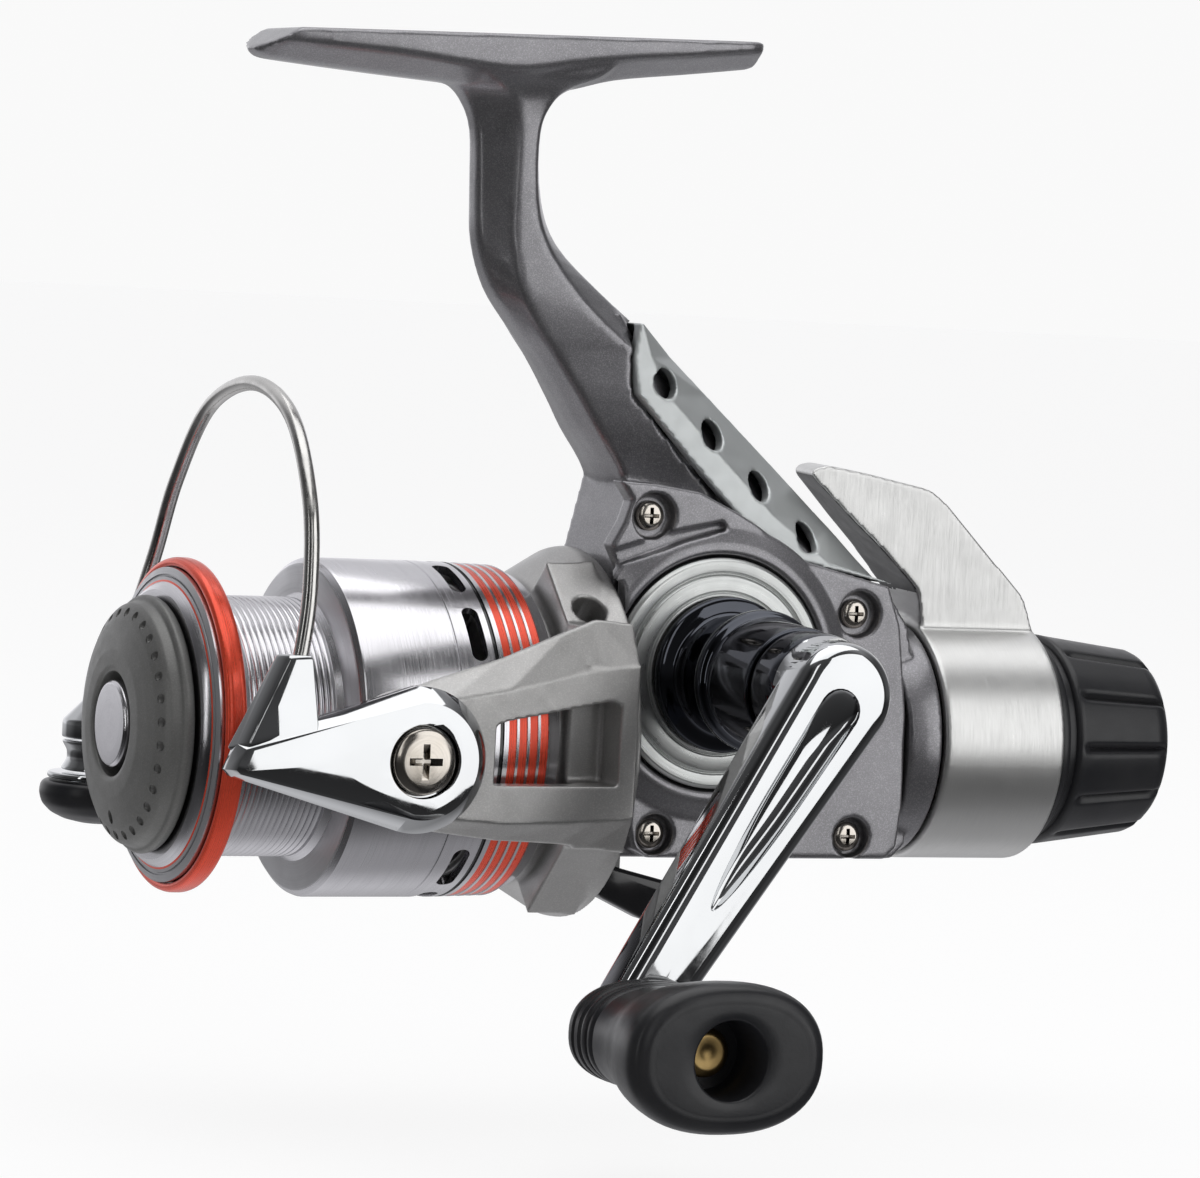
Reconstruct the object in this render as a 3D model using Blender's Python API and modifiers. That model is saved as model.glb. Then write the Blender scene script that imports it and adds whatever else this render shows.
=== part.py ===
"""A small front-spool spinning reel with a rear drag, as an assembly of separate parts.

Lengths in this file are millimetres and MM turns them into metres. The parts are laid out on the
spool axis: X runs along it with the spool in front at -X, the crank is on the -Y side and Z is up
towards the rod. The empty "rod_seat" carries them all, so that the world's origin is the middle of
the foot's top face, where the rod's seat touches it.
"""

import bmesh
import bpy
from math import atan2, cos, degrees, pi, radians, sin, tan
from mathutils import Matrix, Vector

MM = 0.001
GAP = 0.3                       # between neighbouring parts that don't move

# Spool and rotor, about the X axis
LIP_RADIUS = 21.5
SKIRT_RADIUS = 22.0
ARBOR_RADIUS = 16.8
SHAFT_RADIUS = 2.0
ROTOR_RADIUS = 24.6
PINION_RADIUS = 3.5
VENT_COUNT = 12
# Crank, about a Y axis
CRANK_X, CRANK_Z = 9.2, 9.3
CRANK_SHAFT_RADIUS = 3.0
KNOB_X, KNOB_Z = -17.8, -32.2
# Bail, about a Y axis, and its line roller, about a Z axis
BAIL_X, BAIL_Z = -38.3, -1.5
ROLLER_X, ROLLER_Y = -59.0, 30.0
BAIL_WIRE_RADIUS = 1.0
# Gears
DRIVE_TEETH, PINION_TEETH = 42, 8
OSCILLATION_TEETH, OSCILLATION_DRIVE_TEETH = 24, 12
OSCILLATION_X, OSCILLATION_Z = 19.2, -1.2
SLIDER_REACH = 5.5              # of the pin on the oscillation gear
# Gear case
CASE_LEFT, CASE_RIGHT = -11.0, 14.5
COVER_FACE = -14.5
LEVER_Z = -13.2                 # axis of the anti-reverse lever, along X
PAWL_REACH, PAWL_REST = 6.4, 45.0
# Rear drag
BAND_RADIUS = 16.4
DRAG_FRONT, DRAG_REAR = 43.6, 61.7
# Foot
SEAT_X, SEAT_Z = -19.6, 91.0
FOOT_RAKE = radians(2.1)        # the foot's front end is nearer the spool axis
FOOT_HALF_WIDTH = 7.5

COVER_SCREWS = ((-0.6, 29.5), (30.3, 17.4), (1.9, -12.1), (30.9, -12.3))
TRIM_HOLE_START, TRIM_HOLE_STEP, TRIM_HOLE_COUNT = (3.1, 46.7), (6.73, -6.5), 4

TURN_TO = {"X": (0.0, pi / 2, 0.0), "Y": (-pi / 2, 0.0, 0.0), "Z": (0.0, 0.0, 0.0)}


# ---------------------------------------------------------------- scene and materials

def clear_scene():
    for obj in list(bpy.data.objects):
        bpy.data.objects.remove(obj, do_unlink=True)


def new_collection(name):
    collection = bpy.data.collections.new(name)
    bpy.context.scene.collection.children.link(collection)
    return collection


def new_material(name, colour, roughness, metallic):
    material = bpy.data.materials.new(name)
    material.use_nodes = True
    shader = material.node_tree.nodes["Principled BSDF"]
    shader.inputs["Base Color"].default_value = (*colour, 1.0)
    shader.inputs["Roughness"].default_value = roughness
    shader.inputs["Metallic"].default_value = metallic
    return material


clear_scene()
PARTS = new_collection("spinning_reel")
CUTTERS = new_collection("cutters")
ROD_SEAT = bpy.data.objects.new("rod_seat", None)
ROD_SEAT.location = Vector((-SEAT_X, 0, -SEAT_Z)) * MM
PARTS.objects.link(ROD_SEAT)

BODY_PAINT = new_material("body_paint", (0.10, 0.10, 0.11), 0.35, 0.6)
ROTOR_PAINT = new_material("rotor_paint", (0.25, 0.25, 0.26), 0.4, 0.7)
CHROME = new_material("chrome", (0.8, 0.8, 0.82), 0.06, 1.0)
DARK_CHROME = new_material("dark_chrome", (0.08, 0.08, 0.09), 0.08, 1.0)
SATIN_SILVER = new_material("satin_silver", (0.72, 0.72, 0.72), 0.32, 0.9)
SPOOL_SILVER = new_material("spool_silver", (0.75, 0.75, 0.78), 0.2, 1.0)
TRIM_SILVER = new_material("trim_silver", (0.45, 0.47, 0.47), 0.3, 0.8)
RED_ANODISED = new_material("red_anodised", (0.75, 0.06, 0.03), 0.25, 0.8)
CAP_GREY = new_material("cap_grey", (0.09, 0.09, 0.09), 0.5, 0.2)
BLACK_PLASTIC = new_material("black_plastic", (0.01, 0.01, 0.012), 0.4, 0.0)
STEEL = new_material("steel", (0.55, 0.55, 0.57), 0.25, 1.0)
BRASS = new_material("brass", (0.7, 0.5, 0.2), 0.3, 1.0)
FELT = new_material("felt", (0.35, 0.3, 0.2), 0.9, 0.0)


# ---------------------------------------------------------------- modelling helpers

def place(name, mesh, material, axis="Z", at=(0, 0, 0)):
    """A mesh as an object; with no material it is a cutter, or a piece to be joined."""
    obj = bpy.data.objects.new(name, mesh)
    obj.rotation_euler = TURN_TO[axis]
    obj.location = Vector(at) * MM
    obj.parent = ROD_SEAT
    if material is None:
        CUTTERS.objects.link(obj)
        obj.hide_render = True
        obj.display_type = "WIRE"
    else:
        PARTS.objects.link(obj)
        mesh.materials.append(material)
    return obj


def shaded(mesh):
    mesh.shade_smooth()
    mesh.set_sharp_from_angle(angle=radians(35))
    return mesh


def area(points):
    pairs = zip(points, points[1:] + points[:1])
    return sum(a[0] * b[1] - b[0] * a[1] for a, b in pairs) / 2


def turned(name, profile, material, axis="X", at=(0, 0, 0), steps=32):
    """A profile of (height, radius) points turned about an axis through the point at."""
    if area([(radius, height) for height, radius in profile]) > 0:
        profile = profile[::-1]
    on_axis = profile[0][1] == 0 and profile[-1][1] == 0
    mesh = bpy.data.meshes.new(name)
    points = [(radius * MM, 0, height * MM) for height, radius in profile]
    edges = [(i, i + 1) for i in range(len(points) - 1)]
    if not on_axis:
        edges.append((len(points) - 1, 0))
    mesh.from_pydata(points, edges, [])
    obj = place(name, mesh, material, axis, at)
    screw = obj.modifiers.new("turn", "SCREW")
    screw.steps = screw.render_steps = steps
    screw.use_merge_vertices = True
    screw.merge_threshold = 0.00001
    return obj


def ring(name, low, high, inner, outer, material, **kind):
    return turned(name, [(high, inner), (high, outer), (low, outer), (low, inner)], material, **kind)


def disc(name, low, high, radius, material, **kind):
    return turned(name, [(high, 0), (high, radius), (low, radius), (low, 0)], material, **kind)


def block(name, low, high, material):
    low, high = Vector(low), Vector(high)
    size = (high - low) * MM
    mesh = bpy.data.meshes.new(name)
    cube = bmesh.new()
    bmesh.ops.create_cube(cube, size=1.0, matrix=Matrix.Diagonal((*size, 1.0)))
    cube.to_mesh(mesh)
    cube.free()
    return place(name, mesh, material, at=(low + high) / 2)


def slab(name, outline, low, high, material):
    """An outline of (x, z) points made as thick as low to high along Y."""
    curve = bpy.data.curves.new(name, "CURVE")
    curve.dimensions = "2D"
    curve.fill_mode = "BOTH"
    curve.extrude = (high - low) / 2 * MM
    spline = curve.splines.new("POLY")
    spline.points.add(len(outline) - 1)
    for point, (x, z) in zip(spline.points, outline):
        point.co = (x * MM, z * MM, 0, 1)
    spline.use_cyclic_u = True
    guide = bpy.data.objects.new(name + "_outline", curve)
    CUTTERS.objects.link(guide)
    bpy.context.view_layer.update()
    mesh = bpy.data.meshes.new_from_object(guide.evaluated_get(bpy.context.evaluated_depsgraph_get()))
    bpy.data.objects.remove(guide)
    welded = bmesh.new()
    welded.from_mesh(mesh)
    bmesh.ops.remove_doubles(welded, verts=welded.verts, dist=0.000001)
    bmesh.ops.recalc_face_normals(welded, faces=welded.faces)
    bmesh.ops.rotate(welded, verts=welded.verts, matrix=Matrix.Rotation(pi / 2, 3, "X"))
    welded.to_mesh(mesh)
    welded.free()
    return place(name, mesh, material, at=(0, (low + high) / 2, 0))


def loft(name, sections, material):
    """A closed skin over sections, each a ring of the same number of points."""
    skin = bmesh.new()
    rings = [[skin.verts.new(Vector(p) * MM) for p in section] for section in sections]
    count = len(rings[0])
    for a, b in zip(rings, rings[1:]):
        for i in range(count):
            j = (i + 1) % count
            skin.faces.new((a[i], a[j], b[j]))
            skin.faces.new((a[i], b[j], b[i]))
    skin.faces.new(rings[0][::-1])
    skin.faces.new(rings[-1])
    bmesh.ops.recalc_face_normals(skin, faces=skin.faces)
    mesh = bpy.data.meshes.new(name)
    skin.to_mesh(mesh)
    skin.free()
    return place(name, mesh, material)


def tube_skin(name, rings, material, axis, at):
    """A closed skin whose rings run all the way round a bore, so it has no caps."""
    skin = bmesh.new()
    made = [[skin.verts.new(Vector(p) * MM) for p in points] for points in rings]
    count = len(made[0])
    for a, b in zip(made, made[1:] + made[:1]):
        for i in range(count):
            skin.faces.new((a[i], a[(i + 1) % count], b[(i + 1) % count], b[i]))
    bmesh.ops.recalc_face_normals(skin, faces=skin.faces)
    mesh = bpy.data.meshes.new(name)
    skin.to_mesh(mesh)
    skin.free()
    return place(name, mesh, material, axis, at)


def toothed_circle(height, teeth, root, tip, phase):
    """Four points a tooth: two at the root and two at the tip."""
    points = []
    for i in range(teeth):
        for share, radius in ((0.0, root), (0.55, root), (0.68, tip), (0.87, tip)):
            angle = phase + (i + share) * 2 * pi / teeth
            points.append((radius * cos(angle), radius * sin(angle), height))
    return points


def plain_circle(height, teeth, radius, phase=0.0):
    return toothed_circle(height, teeth, radius, radius, phase)


def carve(target, *others, operation="DIFFERENCE"):
    for other in others:
        boolean = target.modifiers.new(other.name, "BOOLEAN")
        boolean.operation = operation
        boolean.solver = "EXACT"
        boolean.object = other
    return target


def join(target, *others):
    return carve(target, *others, operation="UNION")


def wire(name, points, radius, material, sides=2, cyclic=False):
    curve = bpy.data.curves.new(name, "CURVE")
    curve.dimensions = "3D"
    curve.bevel_depth = radius * MM
    curve.bevel_resolution = sides
    curve.use_fill_caps = True
    spline = curve.splines.new("POLY")
    spline.points.add(len(points) - 1)
    for point, place_mm in zip(spline.points, points):
        point.co = (*(Vector(place_mm) * MM), 1)
    spline.use_cyclic_u = cyclic
    obj = bpy.data.objects.new(name, curve)
    obj.parent = ROD_SEAT
    PARTS.objects.link(obj)
    curve.materials.append(material)
    return obj


def coil_points(axis, at, radius, low, high, turns, per_turn=12):
    points = []
    count = round(turns * per_turn)
    for i in range(count + 1):
        along = low + (high - low) * i / count
        a, b = radius * cos(2 * pi * i / per_turn), radius * sin(2 * pi * i / per_turn)
        offset = (along, a, b) if axis == "X" else (a, along, b)
        points.append(Vector(at) + Vector(offset))
    return points


def smooth_path(knots, steps):
    """Points on a Catmull-Rom curve through the knots."""
    knots = [Vector(k) for k in knots]
    ends = [2 * knots[0] - knots[1]] + knots + [2 * knots[-1] - knots[-2]]
    points = []
    for a, b, c, d in zip(ends, ends[1:], ends[2:], ends[3:]):
        for i in range(steps):
            t = i / steps
            points.append(0.5 * (2 * b + (c - a) * t + (2 * a - 5 * b + 4 * c - d) * t ** 2
                                 + (3 * b - a - 3 * c + d) * t ** 3))
    return points + [knots[-1]]


def arc(x, z, radius, start, end, count):
    """Points on an arc in the XZ plane, with angles in degrees from +X towards +Z."""
    turns = [radians(start + (end - start) * i / (count - 1)) for i in range(count)]
    return [(x + radius * cos(t), z + radius * sin(t)) for t in turns]


# ---------------------------------------------------------------- foot, stem and gear case

def foot_top(x):
    return SEAT_Z + (x - SEAT_X) * tan(FOOT_RAKE)


def make_foot():
    """Sections along X of (x, half width, side height, depth at the middle)."""
    stations = ((-54.6, 3.8, 1.2, 2.9), (-53.4, 5.8, 1.5, 3.8), (-50.0, 6.9, 1.9, 4.3),
                (-37.0, FOOT_HALF_WIDTH, 2.9, 5.6), (-27.0, FOOT_HALF_WIDTH, 4.1, 6.5),
                (-19.6, FOOT_HALF_WIDTH, 4.6, 7.4), (-11.4, FOOT_HALF_WIDTH, 3.5, 7.2),
                (-4.0, FOOT_HALF_WIDTH, 2.8, 5.6), (6.0, 7.2, 2.1, 4.6), (13.0, 6.6, 1.5, 3.9),
                (15.6, 5.6, 1.3, 3.6), (16.8, 3.8, 1.1, 3.2))
    sections = []
    for x, wide, side, depth in stations:
        top = foot_top(x)
        sections.append([(x, -wide, top), (x, wide, top), (x, wide, top - side),
                         (x, 0.3 * wide, top - depth), (x, -0.3 * wide, top - depth),
                         (x, -wide, top - side)])
    foot = loft("foot", sections, None)
    ramp = [(-58.0, 86.0), (-54.9, 86.9), (-50.2, foot_top(-50.2)), (-50.2, 94.0), (-58.0, 94.0)]
    return carve(foot, slab("foot_ramp", ramp, -12, 12, None))


def stem_section(z, nose, crease, front_wide, edge, ridge, rear_wide):
    """A pointed section: a narrow nose, flat sides, and a rear that narrows to a flat ridge."""
    ridge_wide = 0.35 * rear_wide
    return [(nose, -1.6, z), (crease, -front_wide, z), (edge, -rear_wide, z), (ridge, -ridge_wide, z),
            (ridge, ridge_wide, z), (edge, rear_wide, z), (crease, front_wide, z), (nose, 1.6, z)]


# Sections down the stem: height, nose, front crease, its half width, rear edge, ridge, rear half width
STEM = ((86.2, -31.0, -25.0, 7.0, -8.0, -5.5, 7.0), (84.4, -27.2, -21.4, 5.6, -12.0, -10.2, 5.6),
        (82.5, -24.9, -19.4, 5.0, -14.0, -12.6, 5.0), (78.5, -23.1, -18.2, 4.7, -15.4, -14.2, 4.7),
        (70.0, -22.6, -18.3, 4.7, -15.3, -13.5, 4.8), (64.0, -22.1, -18.3, 5.0, -13.7, -10.9, 5.3),
        (58.0, -19.9, -17.2, 5.5, -9.6, -4.2, 6.2), (53.0, -16.0, -14.4, 5.5, -4.3, 2.4, 7.0),
        (49.0, -12.4, -11.4, 5.6, 1.2, 7.2, 7.8), (44.0, -8.8, -8.0, 6.2, 4.4, 12.8, 9.1),
        (40.0, -6.2, -5.5, 6.5, 7.8, 17.2, 10.1), (34.0, -2.0, -1.6, 6.5, 13.6, 23.8, 11.5),
        (28.0, -1.8, -1.4, 7.0, 21.4, 30.2, 12.7), (22.0, -2.2, -1.8, 8.5, 29.0, 36.6, 13.8),
        (18.0, -2.4, -2.0, 10.0, 33.0, 38.0, 14.0))

# Sections down the silver trim: height, front edge, ridge, half width
TRIM = ((54.4, -0.6, 0.9, 6.8), (50.0, -1.5, 5.9, 7.6), (45.2, -1.3, 11.2, 8.9),
        (36.0, 6.7, 21.3, 11.2), (30.0, 12.4, 27.8, 12.4), (28.4, 17.4, 29.6, 12.7),
        (24.2, 22.7, 34.0, 13.4), (21.6, 34.4, 36.9, 13.9))
TRIM_WALL = 2.0


def trim_sections(inset, front_shift, longer=0.0):
    sections = []
    for row, (z, front, ridge, wide) in enumerate(TRIM):
        z += longer * ((row == 0) - (row == len(TRIM) - 1))
        low = front + front_shift
        middle = front + 0.35 * max(ridge - front, 0.6)
        high = ridge - 1.3 * inset
        middle = max(min(middle, high - 0.2), low + 0.2)
        high = max(high, middle + 0.2)
        side, narrow = wide - inset, 0.42 * wide - 0.5 * inset
        sections.append([(low, -side, z), (middle, -side, z), (high, -narrow, z),
                         (high, narrow, z), (middle, side, z), (low, side, z)])
    return sections


COVER_OUTLINE = [(-5.7, 34.0), (-0.7, 33.8), (5.9, 32.9), (11.5, 30.4), (17.0, 29.0), (22.7, 24.2),
                 (34.6, 21.3), (38.0, 16.0), (40.5, 2.0), (41.8, -8.0), (40.6, -13.6), (38.8, -15.2),
                 (1.0, -15.2), (-1.0, -14.2), (-2.0, -11.5), (-2.0, 16.0), (-4.8, 22.4), (-6.5, 25.6),
                 (-4.7, 28.9), (-3.9, 31.5)]
CASE_OUTLINE = [(-4.8, -14.0), (-4.8, 20.0), (-3.2, 27.0), (-1.6, 33.8), (11.0, 31.0), (24.0, 24.5),
                (36.0, 20.8), (39.6, 15.6), (40.8, 9.0), (40.8, -13.6), (39.0, -15.5), (-3.0, -15.5)]
RIGHT_OUTLINE = [(-4.8, -13.0), (-4.8, 17.0), (1.0, 22.5), (9.0, 28.0), (14.0, 29.0), (24.0, 24.0),
                 (36.0, 20.0), (39.6, 13.6), (40.0, 8.0), (40.0, -10.6), (37.0, -15.5), (-2.4, -15.5)]
CASE_HOLLOW = [(-2.8, -9.0), (-1.5, -10.4), (36.6, -10.4), (37.8, -9.0), (37.8, 13.0), (27.6, 13.6),
               (20.0, 22.0), (13.0, 25.0), (0.5, 25.2), (-2.8, 21.5)]


RIGHT_HOLLOW = [(-2.5, -8.6), (-1.3, -10.1), (36.3, -10.1), (37.4, -8.8), (37.4, 11.8), (27.4, 12.6),
                (20.6, 16.6), (17.8, 19.6), (12.4, 21.5), (5.0, 21.3), (0.4, 18.4), (-2.5, 14.2)]


def grown(outline, by):
    """The outline moved outwards from its middle by about the given distance."""
    x0 = sum(x for x, _ in outline) / len(outline)
    z0 = sum(z for _, z in outline) / len(outline)
    result = []
    for x, z in outline:
        away = Vector((x - x0, z - z0)).normalized() * by
        result.append((x + away.x, z + away.y))
    return result


def rotor_room(name):
    """The space that the turning rotor needs in front of the gear case."""
    return turned(name, [(-4.8, 0), (-4.8, 25.6), (-6.6, 25.6), (-6.6, 32.4), (-45.0, 32.4), (-45.0, 0)],
                  None)


def make_housing():
    housing = loft("body_housing", [stem_section(*row) for row in STEM], BODY_PAINT)
    rear_end = disc("case_rear_end", 35.0, 43.2, 16.1, None)
    join(housing, make_foot(), slab("gear_case", CASE_OUTLINE, CASE_LEFT, 6.5, None),
         slab("gear_case_right", RIGHT_OUTLINE, 6.0, CASE_RIGHT, None), rear_end)
    carve(housing, loft("trim_room", trim_sections(-2.0, -GAP, GAP), None))
    join(housing, loft("trim_core", trim_sections(TRIM_WALL + 3 * GAP, -1.8, 1.2), None))
    carve(housing, slab("cover_room", grown(COVER_OUTLINE, GAP), -25.0, CASE_LEFT, None),
          slab("gear_room", CASE_HOLLOW, -12.0, 3.6, None),
          slab("gear_room_right", RIGHT_HOLLOW, 3.0, 12.4, None),
          disc("oscillation_room", -12.0, -3.0, 10.6, None, axis="Y", at=(OSCILLATION_X, 0, OSCILLATION_Z)),
          disc("pinion_bearing_seat", -12.0, -2.2, 7.7, None, steps=20),
          disc("rear_shaft_hole", 30.0, 50.0, SHAFT_RADIUS + 2.4, None, steps=24),
          disc("guide_rod_hole", 30.0, 39.4, 1.25, None, at=(0, 0, GUIDE_ROD_Z), steps=12),
          disc("right_bearing_seat", 10.0, 20.0, 6.7, None, axis="Y", at=(CRANK_X, 0, CRANK_Z),
               steps=20),
          disc("lever_shaft_hole", -13.0, 7.4, 1.4, None, at=(0, 0, LEVER_Z), steps=12),
          block("lever_slot", (-2.6, -3.4, -18.0), (5.4, 3.4, -11.2), None))
    for number, (x, z) in enumerate(COVER_SCREWS):
        carve(housing, disc(f"screw_hole_{number}", -12.0, -4.6, 1.25, None, axis="Y", at=(x, 0, z),
                            steps=12))
    return housing


def make_side_cover():
    cover = slab("side_cover", COVER_OUTLINE, COVER_FACE, CASE_LEFT - GAP, BODY_PAINT)
    channel = [(-7.5, 24.6), (-7.0, 22.4), (4.0, 26.4), (10.1, 28.1), (9.3, 29.1), (2.0, 27.6)]
    carve(cover, rotor_room("rotor_room_cover"),
          slab("cover_hollow", CASE_HOLLOW, -12.9, CASE_LEFT + 1, None),
          loft("trim_room_cover", trim_sections(-GAP, -GAP, GAP), None),
          slab("cover_channel", channel, COVER_FACE - 2, COVER_FACE + 0.7, None),
          disc("left_bearing_seat", -20.0, -10.0, 6.7, None, axis="Y", at=(CRANK_X, 0, CRANK_Z),
               steps=20))
    at = (OSCILLATION_X, 0, OSCILLATION_Z)
    post = [(-13.5, 0), (-13.5, 3.0), (-6.4, 3.0), (-6.4, 1.35), (-3.8, 1.35), (-3.8, 0)]
    join(cover, turned("gear_post", post, None, axis="Y", at=at, steps=16))
    for number, (x, z) in enumerate(COVER_SCREWS):
        at = (x, 0, z)
        carve(cover, disc(f"screw_way_{number}", -20.0, -10.0, 1.25, None, axis="Y", at=at, steps=12),
              disc(f"screw_sink_{number}", -20.0, COVER_FACE + 1.4, 2.5, None, axis="Y", at=at, steps=20))
        turned(f"side_cover_screw_{number + 1}",
               [(-5.0, 0), (-5.0, 1.0), (COVER_FACE + 1.1, 1.0), (COVER_FACE + 1.1, 2.0),
                (COVER_FACE + 0.4, 1.9), (COVER_FACE + 0.1, 1.3), (COVER_FACE + 0.1, 0)],
               STEEL, axis="Y", at=at, steps=12)
    return cover


def make_stem_trim():
    trim = loft("stem_trim", trim_sections(0, 0), TRIM_SILVER)
    carve(trim, loft("trim_core_room", trim_sections(TRIM_WALL, -4.0, 2.0), None))
    for i in range(TRIM_HOLE_COUNT):
        x = TRIM_HOLE_START[0] + i * TRIM_HOLE_STEP[0]
        z = TRIM_HOLE_START[1] + i * TRIM_HOLE_STEP[1]
        carve(trim, disc(f"trim_hole_{i}", -20.0, 20.0, 2.0, None, axis="Y", at=(x, 0, z), steps=12))
    return trim


def make_round_covers():
    at = (CRANK_X, 0, CRANK_Z)
    turned("round_cover", [(-14.8, 4.0), (-14.8, 15.2), (-16.0, 15.2), (-16.4, 14.8), (-16.4, 13.4),
                           (-17.0, 13.0), (-17.0, 4.0)], SPOOL_SILVER, axis="Y", at=at, steps=30)
    ring("bearing_left", -14.4, -11.9, 3.2, 6.5, STEEL, axis="Y", at=at, steps=16)
    ring("bearing_right", 11.9, 14.4, 3.2, 6.5, STEEL, axis="Y", at=at, steps=16)
    turned("bearing_cap_right", [(14.8, 3.6), (14.8, 11.0), (15.4, 11.0), (16.0, 10.4), (16.0, 3.6)],
           SPOOL_SILVER, axis="Y", at=at, steps=24)


# ---------------------------------------------------------------- anti-reverse lever

def make_anti_reverse():
    paddle = [(0.3, -17.2), (4.0, -18.2), (13.1, -20.4), (13.6, -22.4), (9.6, -24.9), (7.4, -25.1),
              (0.3, -21.8)]
    lever = slab("anti_reverse_lever", paddle, -1.8, 1.8, BLACK_PLASTIC)
    join(lever, block("lever_neck", (0.3, -1.2, -18.4), (3.4, 1.2, LEVER_Z), None),
         disc("lever_barrel", -2.3, 5.0, 1.8, None, at=(0, 0, LEVER_Z), steps=16),
         disc("lever_shaft", -7.9, 7.0, 1.1, None, at=(0, 0, LEVER_Z), steps=12))
    pawl = ring("anti_reverse_pawl", -7.8, -6.6, 1.35, 2.5, STEEL, steps=16)
    arm = block("pawl_arm", (-7.8, -0.6, 2.0), (-6.6, 0.6, PAWL_REACH), None)
    tilt = Matrix.Rotation(radians(-PAWL_REST), 4, "X")
    arm.matrix_basis = Matrix.Translation((0, 0, LEVER_Z * MM)) @ tilt @ arm.matrix_basis
    pawl.location.z = LEVER_Z * MM
    join(pawl, arm)
    teeth, phase = 8, -12.3
    saw = []
    for i in range(teeth):
        for share, radius in ((0.0, 8.5), (0.18, 8.5), (0.34, 6.4), (0.96, 6.4)):
            angle = (i + share) * 2 * pi / teeth + radians(phase)
            saw.append((radius * cos(angle), radius * sin(angle)))
    bore = [(x * 3.7 / Vector((x, y)).length, y * 3.7 / Vector((x, y)).length) for x, y in saw]
    rings = [[(x, y, -8.0) for x, y in bore], [(x, y, -8.0) for x, y in saw],
             [(x, y, -6.4) for x, y in saw], [(x, y, -6.4) for x, y in bore]]
    tube_skin("ratchet_wheel", rings, STEEL, "X", (0, 0, 0))


# ---------------------------------------------------------------- crank and gear train

def make_gears():
    at = (CRANK_X, 0, CRANK_Z)
    disc("drive_shaft", -17.1, 16.0, CRANK_SHAFT_RADIUS, STEEL, axis="Y", at=at, steps=16)
    count = DRIVE_TEETH

    def crown(radius, face, root):
        circle = []
        for i in range(2 * count):
            angle = i * pi / count
            height = face if i % 2 else root
            circle.append((radius * cos(angle), radius * sin(angle), height))
        return circle

    def flat(radius, height):
        return crown(radius, height, height)

    rings = [flat(3.2, 6.5), flat(9.5, 6.5), crown(9.7, 4.8, 6.3), crown(11.2, 4.8, 6.3),
             flat(11.3, 9.0), flat(3.2, 9.0)]
    tube_skin("drive_gear", rings, BRASS, "Y", at)
    teeth = PINION_TEETH
    pinion = turned("pinion_gear", [(-18.8, 0), (-18.8, PINION_RADIUS), (1.0, PINION_RADIUS), (1.0, 0)],
                    BRASS, steps=20)
    helix = [toothed_circle(2.0 * i, teeth, 3.7, 4.5, 0.32 * i) for i in range(5)]
    swirl = loft("pinion_teeth", [[(z, x, y) for x, y, z in circle] for circle in helix], None)
    join(pinion, swirl)
    carve(pinion, disc("pinion_bore", -30.0, 20.0, 2.25, None, steps=16))
    ring("pinion_bearing", -4.7, -2.5, 3.75, 7.4, STEEL, steps=16)

    small, large = OSCILLATION_DRIVE_TEETH, OSCILLATION_TEETH
    line = atan2(CRANK_Z - OSCILLATION_Z, OSCILLATION_X - CRANK_X)
    small_phase = line - 0.775 * 2 * pi / small
    large_phase = line + pi - 0.275 * 2 * pi / large
    rings = [plain_circle(-6.2, small, 3.2, small_phase), toothed_circle(-6.2, small, 3.9, 5.2, small_phase),
             toothed_circle(-3.5, small, 3.9, 5.2, small_phase), plain_circle(-3.5, small, 3.2, small_phase)]
    tube_skin("oscillation_drive_gear", rings, BRASS, "Y", at)
    centre = (OSCILLATION_X, 0, OSCILLATION_Z)
    rings = [plain_circle(-6.1, large, 1.6, large_phase), toothed_circle(-6.1, large, 8.7, 10.1, large_phase),
             toothed_circle(-3.6, large, 8.7, 10.1, large_phase), plain_circle(-3.6, large, 1.6, large_phase)]
    gear = tube_skin("oscillation_gear", rings, BLACK_PLASTIC, "Y", centre)
    join(gear, disc("oscillation_pin", -4.0, -3.2, 1.2, None, axis="Y",
                    at=(OSCILLATION_X + SLIDER_REACH, 0, OSCILLATION_Z), steps=12))


GUIDE_ROD_Z = -7.6


def make_oscillation():
    x = OSCILLATION_X + SLIDER_REACH
    slider = block("oscillation_slider", (x - 3.0, -2.9, -10.0), (x + 3.0, 3.0, 5.4), STEEL)
    carve(slider, disc("slider_bore", 0.0, 40.0, SHAFT_RADIUS + 0.15, None, steps=16),
          disc("slider_guide_bore", 0.0, 40.0, 1.2, None, at=(0, 0, GUIDE_ROD_Z), steps=12))
    disc("oscillation_guide_rod", -1.8, 39.1, 1.0, STEEL, at=(0, 0, GUIDE_ROD_Z), steps=12)


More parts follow.
